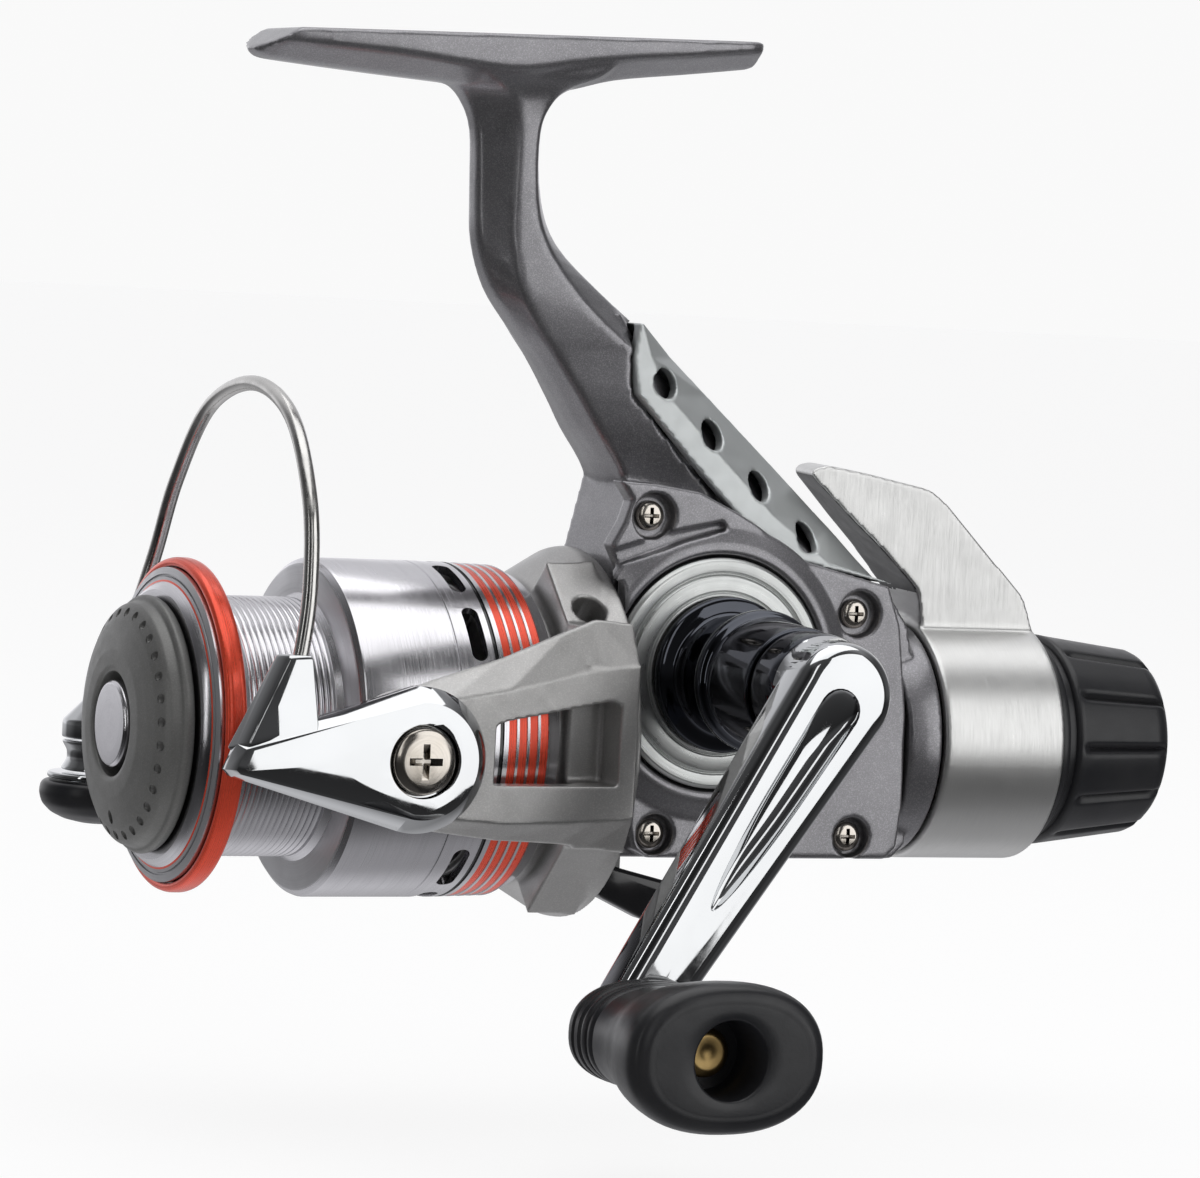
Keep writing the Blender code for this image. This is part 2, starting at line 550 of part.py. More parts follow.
def make_crank():
    at = (CRANK_X, 0, CRANK_Z)
    turned("handle_tube", [(-17.4, 0), (-17.4, 10.2), (-18.6, 10.2), (-19.4, 7.9), (-21.0, 7.5),
                           (-24.5, 7.5), (-27.0, 9.2), (-28.6, 9.3), (-29.8, 8.2), (-39.4, 7.9),
                           (-39.4, 0)], DARK_CHROME, axis="Y", at=at, steps=24)
    heading = degrees(atan2(KNOB_Z - CRANK_Z, KNOB_X - CRANK_X))
    outline = arc(CRANK_X, CRANK_Z, 6.9, heading + 82, heading + 278, 13)
    outline += arc(KNOB_X, KNOB_Z, 4.5, heading - 82, heading + 82, 9)
    arm = slab("handle_arm", outline, -52.4, -45.6, CHROME)
    join(arm, disc("arm_hub", -46.6, -39.7, 7.6, None, axis="Y", at=at, steps=24))
    pin_at = (KNOB_X, 0, KNOB_Z)
    turned("knob_pin", [(-52.7, 0), (-52.7, 2.0), (-74.7, 2.0), (-74.9, 3.2), (-75.9, 3.1), (-76.3, 2.4),
                        (-76.3, 0)], BRASS, axis="Y", at=pin_at, steps=16)
    turned("handle_lock_cap", [(16.3, 0), (16.3, 6.5), (19.2, 6.5), (20.0, 5.6), (20.0, 0)], CHROME,
           axis="Y", at=at, steps=24)
    # Stations out along the knob: distance, half width, half height
    stations = ((-52.8, 8.6, 5.4), (-53.8, 9.8, 6.4), (-60.5, 10.0, 6.6), (-66.0, 10.6, 7.2),
                (-71.5, 12.2, 8.6), (-76.4, 13.0, 9.2), (-78.4, 12.8, 9.0), (-79.4, 11.6, 7.9))
    sections = []
    for y, wide, high in stations:
        sections.append([(KNOB_X + wide * cos(t), y, KNOB_Z + high * sin(t))
                         for t in (2 * pi * i / 20 for i in range(20))])
    knob = loft("handle_knob", sections, BLACK_PLASTIC)
    carve(knob, disc("knob_bore", -85.0, -50.0, 2.25, None, axis="Y", at=pin_at, steps=16),
          disc("knob_recess", -85.0, -74.4, 4.5, None, axis="Y", at=pin_at, steps=20))


# ---------------------------------------------------------------- shaft and spool

def make_spool():
    disc("main_shaft", -61.5, 62.0, SHAFT_RADIUS, STEEL, steps=16)
    spool = turned("spool", [
        (-63.5, 2.3), (-63.5, 17.8), (-62.4, 18.6), (-62.0, 20.2), (-58.8, 20.2), (-58.4, 19.0),
        (-57.5, 17.2), (-56.5, ARBOR_RADIUS), (-44.8, ARBOR_RADIUS), (-44.0, 17.4), (-43.6, 21.2),
        (-42.5, SKIRT_RADIUS), (-24.5, 21.95), (-17.5, 21.7), (-15.5, 20.8), (-15.5, 20.2),
        (-24.0, 20.8), (-41.2, 20.8), (-42.0, 19.8), (-42.4, 14.0), (-56.5, 14.0), (-57.5, 13.0),
        (-57.5, 6.0), (-41.0, 6.0), (-41.0, 2.3)], SPOOL_SILVER, steps=40)
    for i in range(VENT_COUNT):
        vent = block(f"vent_{i}", (-27.6, -4.0, 19.6), (-25.2, 4.0, 23.0), None)
        vent.matrix_basis = Matrix.Rotation(radians(20.5 + 360 / VENT_COUNT * i), 4, "X") @ vent.matrix_basis
        carve(spool, vent)
    turned("spool_lip", [(-61.4, 20.5), (-61.5, 21.1), (-60.9, LIP_RADIUS), (-59.3, LIP_RADIUS),
                         (-58.7, 21.1), (-58.7, 20.5)], RED_ANODISED, steps=40)
    turned("spool_cap", [(-63.8, 3.2), (-63.8, 16.4), (-64.6, 16.6), (-66.6, 15.6), (-68.2, 13.0),
                         (-69.0, 9.5), (-69.1, 6.7), (-65.4, 6.4), (-65.4, 3.2)], CAP_GREY, steps=30)
    turned("spool_button", [(-64.8, 0), (-64.8, 2.8), (-67.1, 2.8), (-67.1, 5.8), (-68.6, 5.8),
                            (-69.3, 4.8), (-69.4, 0)], SPOOL_SILVER, steps=24)
    ring("spool_washer", -40.6, -39.6, 2.2, 5.0, FELT, steps=16)


# ---------------------------------------------------------------- rotor and bail

def arm_outline():
    nose = arc(BAIL_X, BAIL_Z, 8.6, 100, 245, 9)
    return [(-7.2, 16.0), (-12.5, 16.5), (-25.5, 11.2), (-37.0, 7.6)] + nose + \
        [(-34.8, -10.9), (-25.0, -12.0), (-16.6, -12.4), (-7.2, -13.5)]


def make_rotor():
    rotor = turned("rotor", [
        (-14.4, 3.8), (-14.4, 18.0), (-24.0, 18.0), (-24.0, 19.5), (-14.6, 19.5), (-14.4, 20.3),
        (-7.2, 24.4), (-5.5, ROTOR_RADIUS), (-5.5, 23.2), (-7.4, 22.9), (-12.2, 19.4), (-12.2, 7.0),
        (-9.5, 7.0), (-9.5, 3.8)], ROTOR_PAINT, steps=40)
    window = [(-27.0, 2.8), (-25.4, 3.4), (-11.0, 6.2), (-9.5, 5.8), (-9.5, -4.7), (-27.0, -4.8)]
    for side, name in ((-1, "left"), (1, "right")):
        low, high = sorted((side * 22.9, side * 26.4))
        shoulder = block(f"rotor_shoulder_{name}", (-14.3, min(side * 18.6, side * 26.3), -13.2),
                         (-7.3, max(side * 18.6, side * 26.3), 15.8), None)
        join(rotor, slab(f"rotor_arm_{name}", arm_outline(), low, high, None), shoulder)
    for side, name in ((-1, "left"), (1, "right")):
        low, high = sorted((side * 20.6, side * 30.0))
        hole = disc(f"weight_hole_{name}", 16.0, 30.0, 2.3, None, steps=16, axis="Z")
        turn = Matrix.Rotation(radians(-side * 44), 4, "X")
        hole.matrix_basis = Matrix.Translation((-10.3 * MM, 0, 0)) @ turn
        carve(rotor, slab(f"arm_window_{name}", window, low, high, None), hole,
              disc(f"pivot_hole_{name}", min(side * 20, side * 32), max(side * 20, side * 32), 2.25, None,
                   axis="Y", at=(BAIL_X, 0, BAIL_Z), steps=16))
        head = [(22.9, 0), (22.9, 2.0), (29.5, 2.0), (29.5, 4.3), (30.2, 4.3), (30.7, 3.4), (30.7, 0)]
        turned(f"pivot_screw_{name}", [(side * y, r) for y, r in head], STEEL, axis="Y",
               at=(BAIL_X, 0, BAIL_Z), steps=24)
    turned("rotor_nut", [(-19.0, 4.4), (-19.0, 7.4), (-15.0, 7.4), (-15.0, 4.4)], STEEL, steps=6)
    wire("bail_spring", coil_points("Y", (BAIL_X, 0, BAIL_Z), 4.6, -27.1, -28.3, 1.5), 0.3, STEEL, sides=1)


def bail_plate(name, outline, side):
    low, high = sorted((side * 26.8, side * 30.6))
    plate = slab(name, outline, low, high, CHROME)
    at = (BAIL_X, 0, BAIL_Z)
    # The spring's room on the inside, the screw's bore, and the sink for its head
    bore = [(20.0, 0), (20.0, 5.6), (28.7, 5.6), (28.7, 2.3), (29.3, 2.3), (29.3, 4.7), (40.0, 4.7), (40.0, 0)]
    return carve(plate, turned(f"{name}_bore", [(side * y, r) for y, r in bore], None, axis="Y", at=at,
                               steps=20))


def make_bail():
    boss = arc(BAIL_X, BAIL_Z, 9.3, 95, -105, 15)
    plate = bail_plate("bail_arm_left", boss + [(-63.3, -3.9), (-64.2, -3.0), (-62.8, 0.2)], -1)
    fin = [(-62.4, -1.6), (-62.4, 1.0), (-56.8, 11.5), (-53.4, 11.5), (-52.6, 3.4), (-52.6, -1.6)]
    join(plate, slab("wire_holder", fin, -28.9, -25.5, None))
    plate = bail_plate("bail_arm_right", boss + [(-50.4, -12.0), (-50.4, 1.0)], 1)
    tongue = (-12.0, -10.4)
    join(plate, block("roller_neck", (ROLLER_X + 2, 28.2, tongue[0]), (-49.5, 31.0, tongue[1]), None),
         disc("roller_tongue", *tongue, 4.4, None, axis="Z", at=(ROLLER_X, ROLLER_Y, 0), steps=20))
    at = (ROLLER_X, ROLLER_Y, 0)
    turned("roller_cone", [(1.2, 0), (1.2, 2.5), (0.4, 2.7), (-2.2, 5.3), (-4.6, 5.3), (-4.6, 1.5),
                           (-10.1, 1.5), (-10.1, 0)], CHROME, axis="Z", at=at, steps=24)
    turned("line_roller", [(-4.9, 1.75), (-4.9, 5.2), (-6.3, 4.5), (-7.4, 4.5), (-8.9, 5.3), (-8.9, 1.75)],
           CHROME, axis="Z", at=at, steps=24)
    ring("roller_flange", -10.0, -9.2, 1.75, 7.0, CHROME, axis="Z", at=at, steps=28)
    cap = turned("roller_cap", [(-10.3, 4.8), (-10.3, 7.4), (-10.9, 7.9), (-12.0, 8.0), (-14.0, 7.2),
                                (-15.4, 5.0), (-16.0, 2.0), (-16.0, 0), (-12.4, 0), (-12.4, 4.8)],
                 BLACK_PLASTIC, axis="Z", at=at, steps=24)
    carve(cap, block("neck_slot", (ROLLER_X + 1, 27.9, -12.4), (-48, 31.3, -9.0), None))
    knots = [(-54.4, -27.1, 12.1), (-53.4, -26.3, 20.0), (-52.7, -23.0, 30.5), (-52.1, -14.0, 40.6),
             (-51.8, 0.0, 44.2), (-52.2, 14.0, 40.6), (-52.9, 23.0, 30.5), (-54.0, 27.0, 20.0),
             (-56.4, 29.0, 9.6), (ROLLER_X, ROLLER_Y, 2.6)]
    wire("bail_wire", smooth_path(knots, 3), BAIL_WIRE_RADIUS, CHROME)


# ---------------------------------------------------------------- rear drag

def make_drag():
    cup = [(43.5, 4.6), (43.5, 14.2), (61.4, 14.2), (61.4, 12.4), (45.4, 12.4), (45.4, 4.6)]
    turned("drag_housing", cup, BLACK_PLASTIC, steps=32)
    ring("drag_sleeve", 43.9, 60.0, 2.25, 4.0, STEEL, steps=20)
    ring("drag_washer_front", 45.8, 47.0, 4.25, 11.8, FELT, steps=20)
    ring("drag_washer_steel", 47.3, 48.3, 4.25, 12.1, STEEL, steps=20)
    ring("drag_washer_rear", 48.6, 49.8, 4.25, 11.8, FELT, steps=20)
    wire("drag_spring", coil_points("X", (0, 0, 0), 7.0, 51.0, 59.6, 3), 0.8, STEEL, sides=1)
    ring("drag_nut", 61.0, 64.0, 2.7, 9.0, BRASS, steps=6)
    knob = [(72.0, 0), (72.0, 10.6), (62.2, 10.6), (62.2, 14.6), (63.6, 14.6), (64.0, 13.6), (65.0, 13.6),
            (65.6, 14.4), (79.0, 12.7), (81.0, 11.0), (81.3, 0)]
    turned("drag_knob", knob, BLACK_PLASTIC, steps=28)
    lever = ring("drag_lever", DRAG_FRONT, DRAG_REAR, 14.7, BAND_RADIUS, SATIN_SILVER, steps=48)
    blade = [(44.2, 14.0), (44.2, 16.0), (43.5, 20.3), (37.8, 25.6), (33.0, 29.5), (26.0, 35.5),
             (27.0, 36.4), (29.0, 36.7), (35.0, 35.8), (44.5, 34.0), (47.0, 32.3), (59.9, 19.7),
             (61.4, 15.5), (61.4, 14.0)]
    fin = slab("lever_blade", blade, -6.0, 6.0, None)
    carve(fin, disc("lever_bore", 40.0, 65.0, 15.2, None, steps=48))
    join(lever, fin)


make_housing()
make_side_cover()
make_stem_trim()
make_round_covers()
make_anti_reverse()
make_gears()
make_oscillation()
make_crank()
make_spool()
make_rotor()
make_bail()
make_drag()

for part in PARTS.objects:
    if part.type == "MESH":
        shaded(part.data)
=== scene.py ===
"""The looks of a spinning reel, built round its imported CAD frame.

Lengths are millimetres from the spool's axis: X runs along it with the spool in front at -X, the
crank is on the -Y side, and Z is up towards the rod's seat. spot() turns them into the frame's
metres. Turned pieces are made about their own Z axis, and their finishes rely on that.
"""

from math import atan2, cos, pi, radians, sin, sqrt

import bmesh
import bpy
from mathutils import Matrix, Vector


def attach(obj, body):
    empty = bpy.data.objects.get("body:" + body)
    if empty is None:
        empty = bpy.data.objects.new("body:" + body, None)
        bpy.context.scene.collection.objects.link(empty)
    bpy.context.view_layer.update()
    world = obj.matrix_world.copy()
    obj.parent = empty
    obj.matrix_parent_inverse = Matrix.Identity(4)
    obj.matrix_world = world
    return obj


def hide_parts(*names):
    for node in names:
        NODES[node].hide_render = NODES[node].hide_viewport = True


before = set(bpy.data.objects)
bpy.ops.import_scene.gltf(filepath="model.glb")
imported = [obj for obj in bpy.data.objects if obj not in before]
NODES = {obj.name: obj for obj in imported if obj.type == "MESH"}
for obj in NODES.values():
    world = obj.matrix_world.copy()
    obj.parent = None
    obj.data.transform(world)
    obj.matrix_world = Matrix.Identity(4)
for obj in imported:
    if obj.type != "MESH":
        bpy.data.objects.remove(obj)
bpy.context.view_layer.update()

MM = 0.001
SPOOL_AXIS = Vector((19.6, 0.0, -91.0))
TURN_TO = {"X": Matrix.Rotation(pi / 2, 4, "Y"), "Y": Matrix.Rotation(-pi / 2, 4, "X"),
           "Z": Matrix.Identity(4)}
SHARP = radians(32)

CRANK = (9.2, 9.3)
KNOB = (-17.8, -32.2)
BAIL = (-38.3, -1.5)
ROLLER = (-59.0, 30.0)
OSCILLATION = (19.2, -1.2)


# ------------ outlines and profiles

def spot(x, y, z):
    return (Vector((x, y, z)) + SPOOL_AXIS) * MM


def softened(points, reach, closed=False, steps=4):
    """The points with each corner replaced by a short curve that starts within reach of it."""
    points = [Vector(p) for p in points]
    result = []
    count = len(points)
    for i, here in enumerate(points):
        if not closed and i in (0, count - 1):
            result.append(tuple(here))
            continue
        before, after = points[i - 1], points[(i + 1) % count]
        back, on = before - here, after - here
        start = here + back.normalized() * min(reach, 0.45 * back.length)
        end = here + on.normalized() * min(reach, 0.45 * on.length)
        for j in range(steps + 1):
            t = j / steps
            result.append(tuple((1 - t) ** 2 * start + 2 * t * (1 - t) * here + t ** 2 * end))
    return result


def smooth_rows(rows, steps):
    """Rows of numbers on a Catmull-Rom curve through the given rows."""
    before = tuple(2 * a - b for a, b in zip(rows[0], rows[1]))
    after = tuple(2 * a - b for a, b in zip(rows[-1], rows[-2]))
    knots = [before, *rows, after]
    result = []
    for four in zip(knots, knots[1:], knots[2:], knots[3:]):
        for j in range(steps):
            t = j / steps
            result.append(tuple(
                0.5 * (2 * q + (r - p) * t + (2 * p - 5 * q + 4 * r - s) * t ** 2
                       + (3 * q - p - 3 * r + s) * t ** 3) for p, q, r, s in zip(*four)))
    return result + [tuple(rows[-1])]


def turns(count):
    """Evenly spaced angles that make one whole turn."""
    return [2 * pi * i / count for i in range(count)]


def arc(centre, radius, start, end, count):
    """Points on an arc, with angles in degrees."""
    angles = [radians(start + (end - start) * i / (count - 1)) for i in range(count)]
    return [(centre[0] + radius * cos(t), centre[1] + radius * sin(t)) for t in angles]


def anticlockwise(outline):
    pairs = zip(outline, outline[1:] + outline[:1])
    return outline if sum(a[0] * b[1] - b[0] * a[1] for a, b in pairs) > 0 else outline[::-1]


def inset(outline, by, ease=None):
    """An anticlockwise outline moved inwards, by less where the factor ease(point) is under 1."""
    points = [Vector(p) for p in outline]
    result = []
    for i, here in enumerate(points):
        a = (here - points[i - 1]).normalized()
        b = (points[(i + 1) % len(points)] - here).normalized()
        inward = Vector((-a.y - b.y, a.x + b.x))
        much = by * ease(here) if ease else by
        result.append(tuple(here + inward * much / max(0.45, 1 + a.dot(b))))
    return result


# ------------ meshes

def mesh_from(shape):
    bmesh.ops.recalc_face_normals(shape, faces=shape.faces)
    mesh = bpy.data.meshes.new("made")
    shape.to_mesh(mesh)
    shape.free()
    return mesh


def loft(rings, cyclic=False):
    """A skin over rings of the same number of points, capped unless the last ring joins the first."""
    shape = bmesh.new()
    rows = [[shape.verts.new(Vector(p) * MM) for p in ring] for ring in rings]
    count = len(rows[0])
    for a, b in zip(rows, rows[1:] + (rows[:1] if cyclic else [])):
        for i in range(count):
            j = (i + 1) % count
            shape.faces.new((a[i], a[j], b[j], b[i]))
    if not cyclic:
        shape.faces.new(rows[0][::-1])
        shape.faces.new(rows[-1])
    return mesh_from(shape)


def lathe(profile, steps=96, closed=False, shape_of=None):
    """A profile of (height, radius) points turned about Z; shape_of(turn, height, radius) reshapes it."""
    shape = bmesh.new()
    rows = []
    for height, radius in profile:
        if radius < 0.0001:
            rows.append([shape.verts.new((0, 0, height * MM))])
            continue
        row = []
        for turn in turns(steps):
            out = shape_of(turn, height, radius) if shape_of else radius
            row.append(shape.verts.new((out * cos(turn) * MM, out * sin(turn) * MM, height * MM)))
        rows.append(row)
    for a, b in zip(rows, rows[1:] + (rows[:1] if closed else [])):
        if len(a) == len(b) == 1:
            continue
        for i in range(steps):
            j = (i + 1) % steps
            if len(a) == 1:
                shape.faces.new((a[0], b[j], b[i]))
            elif len(b) == 1:
                shape.faces.new((a[i], a[j], b[0]))
            else:
                shape.faces.new((a[i], a[j], b[j], b[i]))
    return mesh_from(shape)


def rod(low, high, radius, steps=32):
    return lathe([(low, 0), (low, radius), (high, radius), (high, 0)], steps)


def placed(mesh, axis="Z", at=(0, 0, 0), turn=Matrix.Identity(4)):
    """The mesh with its Z turned to an axis, then turned about the origin, then moved."""
    mesh.transform(Matrix.Translation(Vector(at) * MM) @ turn @ TURN_TO[axis])
    return mesh


def plate(outline, low, high, rim_low=0.0, rim_high=0.0, steps=4):
    """An (x, z) outline made thick along Y, with its rims rounded, or cut off where steps is 1."""
    outline = anticlockwise(list(outline))
    angles = [pi / 2 * i / steps for i in range(steps + 1)]
    levels = [(low + rim_low, 0.0), (high - rim_high, 0.0)]
    if rim_low:
        levels[:0] = [(low + rim_low * (1 - cos(t)), rim_low * (1 - sin(t))) for t in angles[:-1]]
    if rim_high:
        levels += [(high - rim_high * (1 - sin(t)), rim_high * (1 - cos(t))) for t in angles[1:]]
    return loft([[(x, y, z) for x, z in (inset(outline, by) if by else outline)] for y, by in levels])


def block(low, high):
    (x0, y0, z0), (x1, y1, z1) = low, high
    return loft([[(x0, y0, z), (x1, y0, z), (x1, y1, z), (x0, y1, z)] for z in (z0, z1)])


def added(name, data):
    obj = bpy.data.objects.new(name, data)
    bpy.context.scene.collection.objects.link(obj)
    return obj


def worked(mesh, joined=(), removed=(), voxel=0.0, passes=0, bevel=0.0):
    """The mesh with others joined and removed, then cast with soft edges, or with its edges broken."""
    helpers = [added("helper", made) for made in (mesh, *joined, *removed)]
    base = helpers[0]
    for i, helper in enumerate(helpers[1:]):
        boolean = base.modifiers.new("boolean", "BOOLEAN")
        boolean.operation = "UNION" if i < len(joined) else "DIFFERENCE"
        boolean.solver = "EXACT"
        boolean.object = helper
    if voxel:
        remesh = base.modifiers.new("cast", "REMESH")
        remesh.mode = "VOXEL"
        remesh.voxel_size = voxel * MM
        smooth = base.modifiers.new("smooth", "SMOOTH")
        smooth.factor = 0.5
        smooth.iterations = passes
    if bevel:
        broken = base.modifiers.new("edges", "BEVEL")
        broken.width = bevel * MM
        broken.segments = 2
        broken.limit_method = "ANGLE"
        broken.angle_limit = radians(30)
        broken.use_clamp_overlap = True
    graph = bpy.context.evaluated_depsgraph_get()
    result = bpy.data.meshes.new_from_object(base.evaluated_get(graph))
    for helper in helpers:
        bpy.data.objects.remove(helper)
    return result


def piece(name, mesh, body, looks, node, axis="Z", at=(0, 0, 0), sharp=SHARP):
    """A mesh as a piece of the reel, riding on a CAD body in place of one of its nodes."""
    mesh.name = name
    obj = added(name, mesh)
    obj.matrix_world = Matrix.Translation(spot(*at)) @ TURN_TO[axis]
    looks = looks if isinstance(looks, list) else [looks]
    for material in looks:
        mesh.materials.append(material)
    mesh.shade_smooth()
    if sharp:
        mesh.set_sharp_from_angle(angle=sharp)
    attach(obj, body)
    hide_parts(node)


# ------------ finishes

class Nodes:
    """The nodes of a material or a world, with short ways to add to them."""

    def __init__(self, owner, shader="Principled BSDF"):
        owner.use_nodes = True
        self.tree = owner.node_tree
        self.shader = self.tree.nodes[shader]
        self.coordinates = self.node("TexCoord").outputs
        self.place = self.coordinates["Object"]

    def fill(self, node, inputs):
        for key, value in inputs.items():
            if isinstance(value, bpy.types.NodeSocket):
                self.tree.links.new(value, node.inputs[key])
            else:
                node.inputs[key].default_value = value

    def node(self, kind, inputs=None, **settings):
        made = self.tree.nodes.new("ShaderNode" + kind)
        for key, value in settings.items():
            setattr(made, key, value)
        self.fill(made, inputs or {})
        return made

    def math(self, operation, a, b=0.0, clamp=False):
        return self.node("Math", {0: a, 1: b}, operation=operation, use_clamp=clamp).outputs[0]

    def spread(self, value, low, high, to_low=0.0, to_high=1.0):
        return self.node("MapRange", {0: value, 1: low, 2: high, 3: to_low, 4: to_high}).outputs[0]

    def blend(self, share, a, b):
        a, b = [(*c, 1.0) if isinstance(c, tuple) and len(c) == 3 else c for c in (a, b)]
        return self.node("Mix", {0: share, 6: a, 7: b}, data_type="RGBA").outputs[2]

    def noise(self, scale, detail, roughness=0.5, where=None):
        return self.node("TexNoise", {"Vector": where or self.place, "Scale": scale, "Detail": detail,
                                      "Roughness": roughness}).outputs[0]

    def cells(self, scale):
        colour = self.node("TexVoronoi", {"Vector": self.place, "Scale": scale}).outputs["Color"]
        return self.node("SeparateColor", {0: colour}).outputs[0]

    def scaled(self, scales):
        return self.node("VectorMath", {0: self.place, 1: scales}, operation="MULTIPLY").outputs[0]

    def round_the_axis(self, fineness, turn_scale):
        """Coordinates in which noise makes rings about the piece's own Z axis."""
        x, y, z = self.node("SeparateXYZ", {0: self.place}).outputs
        squares = [self.math("MULTIPLY", side, side) for side in (x, y)]
        radius = self.math("SQRT", self.math("ADD", *squares))
        turn = self.math("ARCTAN2", y, x)
        return self.node("CombineXYZ", {0: self.math("MULTIPLY", z, fineness),
                                        1: self.math("MULTIPLY", radius, fineness),
                                        2: self.math("MULTIPLY", turn, turn_scale)}).outputs[0]

    def edges(self, width):
        """1 where two faces meet within width, and 0 on the flat."""
        plain = self.node("NewGeometry").outputs["Normal"]
        rounded = self.node("Bevel", {"Radius": width * MM}, samples=4).outputs[0]
        facing = self.node("VectorMath", {0: plain, 1: rounded}, operation="DOT_PRODUCT").outputs["Value"]
        return self.spread(facing, 0.985, 0.82)

    def painted_shade_mask(self, reach):
        """1 in corners and sunk places, where painted shade darkens the colour."""
        shade = self.node("AmbientOcclusion", {"Distance": reach * MM}, samples=4).outputs["AO"]
        return self.spread(shade, 0.75, 0.25)


# Noise scales, per metre
FLAKES = 8000.0
TOOL_MARKS = 9000.0


def darker(colour, share):
    return tuple(c * share for c in colour)


def finish(name, colour, metallic, rough, other=None, vary=0.0, flake=0.0, flake_colour=None, grain=0.0,
           grain_scale=0.0, turned=0.0, brushed=None, edge_wear_and_highlight=None, edge_wear_and_highlight_width=0.22, hollow_shade=0.0, coat=0.0,
           smears=0.12):
    """A finish with colour spread, flakes, grain, tool marks, smears, edges lightened for wear and as
    painted highlight, and painted shade in hollows.
    """
    material = bpy.data.materials.new(name)
    made = Nodes(material)
    base = made.blend(made.spread(made.noise(90.0, 3.0), 0.35, 0.65), colour,
                      other or darker(colour, 1 - vary))
    roughness = made.spread(made.noise(420.0, 4.0, 0.6), 0.3, 0.7, rough * (1 - smears),
                            rough * (1 + smears))
    heights = []
    if flake:
        lit = made.math("POWER", made.cells(FLAKES), 3.0)
        base = made.blend(made.math("MULTIPLY", lit, flake), base, flake_colour)
        heights.append((made.cells(FLAKES), 0.012, 0.5))
    if grain:
        heights.append((made.noise(grain_scale, 3.0, 0.6), grain, 0.6))
    if turned:
        lines = made.noise(1.0, 2.0, 0.7, made.round_the_axis(TOOL_MARKS, 0.8))
        heights.append((lines, turned, 0.6))
        roughness = made.math("ADD", roughness, made.spread(lines, 0.3, 0.8, -0.04, 0.10), True)
        base = made.blend(made.spread(lines, 0.45, 0.8, 0.0, 0.35), base, darker(colour, 0.72))
    if brushed:
        lines = made.noise(1.0, 3.0, 0.7, made.scaled(brushed))
        heights.append((lines, 0.008, 0.5))
        roughness = made.math("ADD", roughness, made.spread(lines, 0.3, 0.8, -0.05, 0.12), True)
        base = made.blend(made.spread(lines, 0.4, 0.75, 0.0, 0.25), base, darker(colour, 0.8))
    # edges: lighter and rougher for wear, and the lighter colour is also a painted highlight along them
    if edge_wear_and_highlight:
        patches = made.spread(made.noise(700.0, 4.0, 0.7), 0.45, 0.7)
        worn_and_highlit = made.math("MULTIPLY", made.edges(edge_wear_and_highlight_width), patches, True)
        base = made.blend(worn_and_highlit, base, edge_wear_and_highlight)
        roughness = made.node("Mix", {0: worn_and_highlit, 2: roughness, 3: min(1.0, rough * 1.5 + 0.05)},
                              data_type="FLOAT").outputs[0]
    # painted shade: the colour darkens in corners and sunk places, found by ambient occlusion
    if hollow_shade:
        base = made.blend(made.math("MULTIPLY", made.painted_shade_mask(1.4), hollow_shade), base, darker(colour, 0.25))
    bumps = {}
    for height, distance, strength in heights:
        bump = made.node("Bump", {"Height": height, "Distance": distance * MM, "Strength": strength,
                                  **bumps})
        bumps = {"Normal": bump.outputs[0]}
    made.fill(made.shader, {"Base Color": base, "Roughness": roughness, "Metallic": metallic,
                            "Coat Weight": coat, "Coat Roughness": 0.06, **bumps})
    return material


BODY_PAINT = finish("body_paint", (0.27, 0.265, 0.28), 0.82, 0.32, (0.23, 0.226, 0.239), flake=0.42,
                    flake_colour=(0.52, 0.51, 0.54), grain=0.006, grain_scale=900.0,
                    edge_wear_and_highlight=(0.42, 0.42, 0.43), hollow_shade=0.55, coat=0.55)
ROTOR_PAINT = finish("rotor_paint", (0.50, 0.495, 0.49), 0.85, 0.38, (0.45, 0.445, 0.44), flake=0.4,
                     flake_colour=(0.72, 0.71, 0.69), grain=0.01, grain_scale=1400.0,
                     edge_wear_and_highlight=(0.62, 0.61, 0.60), hollow_shade=0.6, coat=0.15)
CHROME = finish("chrome", (0.66, 0.67, 0.68), 1.0, 0.05, vary=0.03, grain=0.0006, grain_scale=260.0,
                edge_wear_and_highlight=(0.82, 0.82, 0.84), edge_wear_and_highlight_width=0.12, smears=0.6)
DARK_CHROME = finish("dark_chrome", (0.085, 0.09, 0.105), 1.0, 0.05, vary=0.15, turned=0.0006,
                     edge_wear_and_highlight=(0.3, 0.3, 0.32), edge_wear_and_highlight_width=0.12, smears=0.5)
SATIN_SILVER = finish("satin_silver", (0.74, 0.74, 0.73), 0.92, 0.34, vary=0.03, grain=0.005,
                      grain_scale=1800.0, brushed=(TOOL_MARKS, 260.0, 260.0), edge_wear_and_highlight=(0.88, 0.88, 0.88),
                      hollow_shade=0.25, smears=0.06)
SPOOL_SILVER = finish("spool_silver", (0.76, 0.75, 0.78), 1.0, 0.2, vary=0.04, turned=0.002,
                      edge_wear_and_highlight=(0.9, 0.9, 0.91), edge_wear_and_highlight_width=0.12, hollow_shade=0.3)
FLANGE_GREY = finish("flange_grey", (0.56, 0.56, 0.58), 0.85, 0.34, vary=0.06, turned=0.0015, hollow_shade=0.3)
COVER_SILVER = finish("cover_silver", (0.62, 0.635, 0.625), 0.95, 0.3, vary=0.05, turned=0.0005,
                      edge_wear_and_highlight=(0.85, 0.86, 0.85), edge_wear_and_highlight_width=0.1, hollow_shade=0.35)
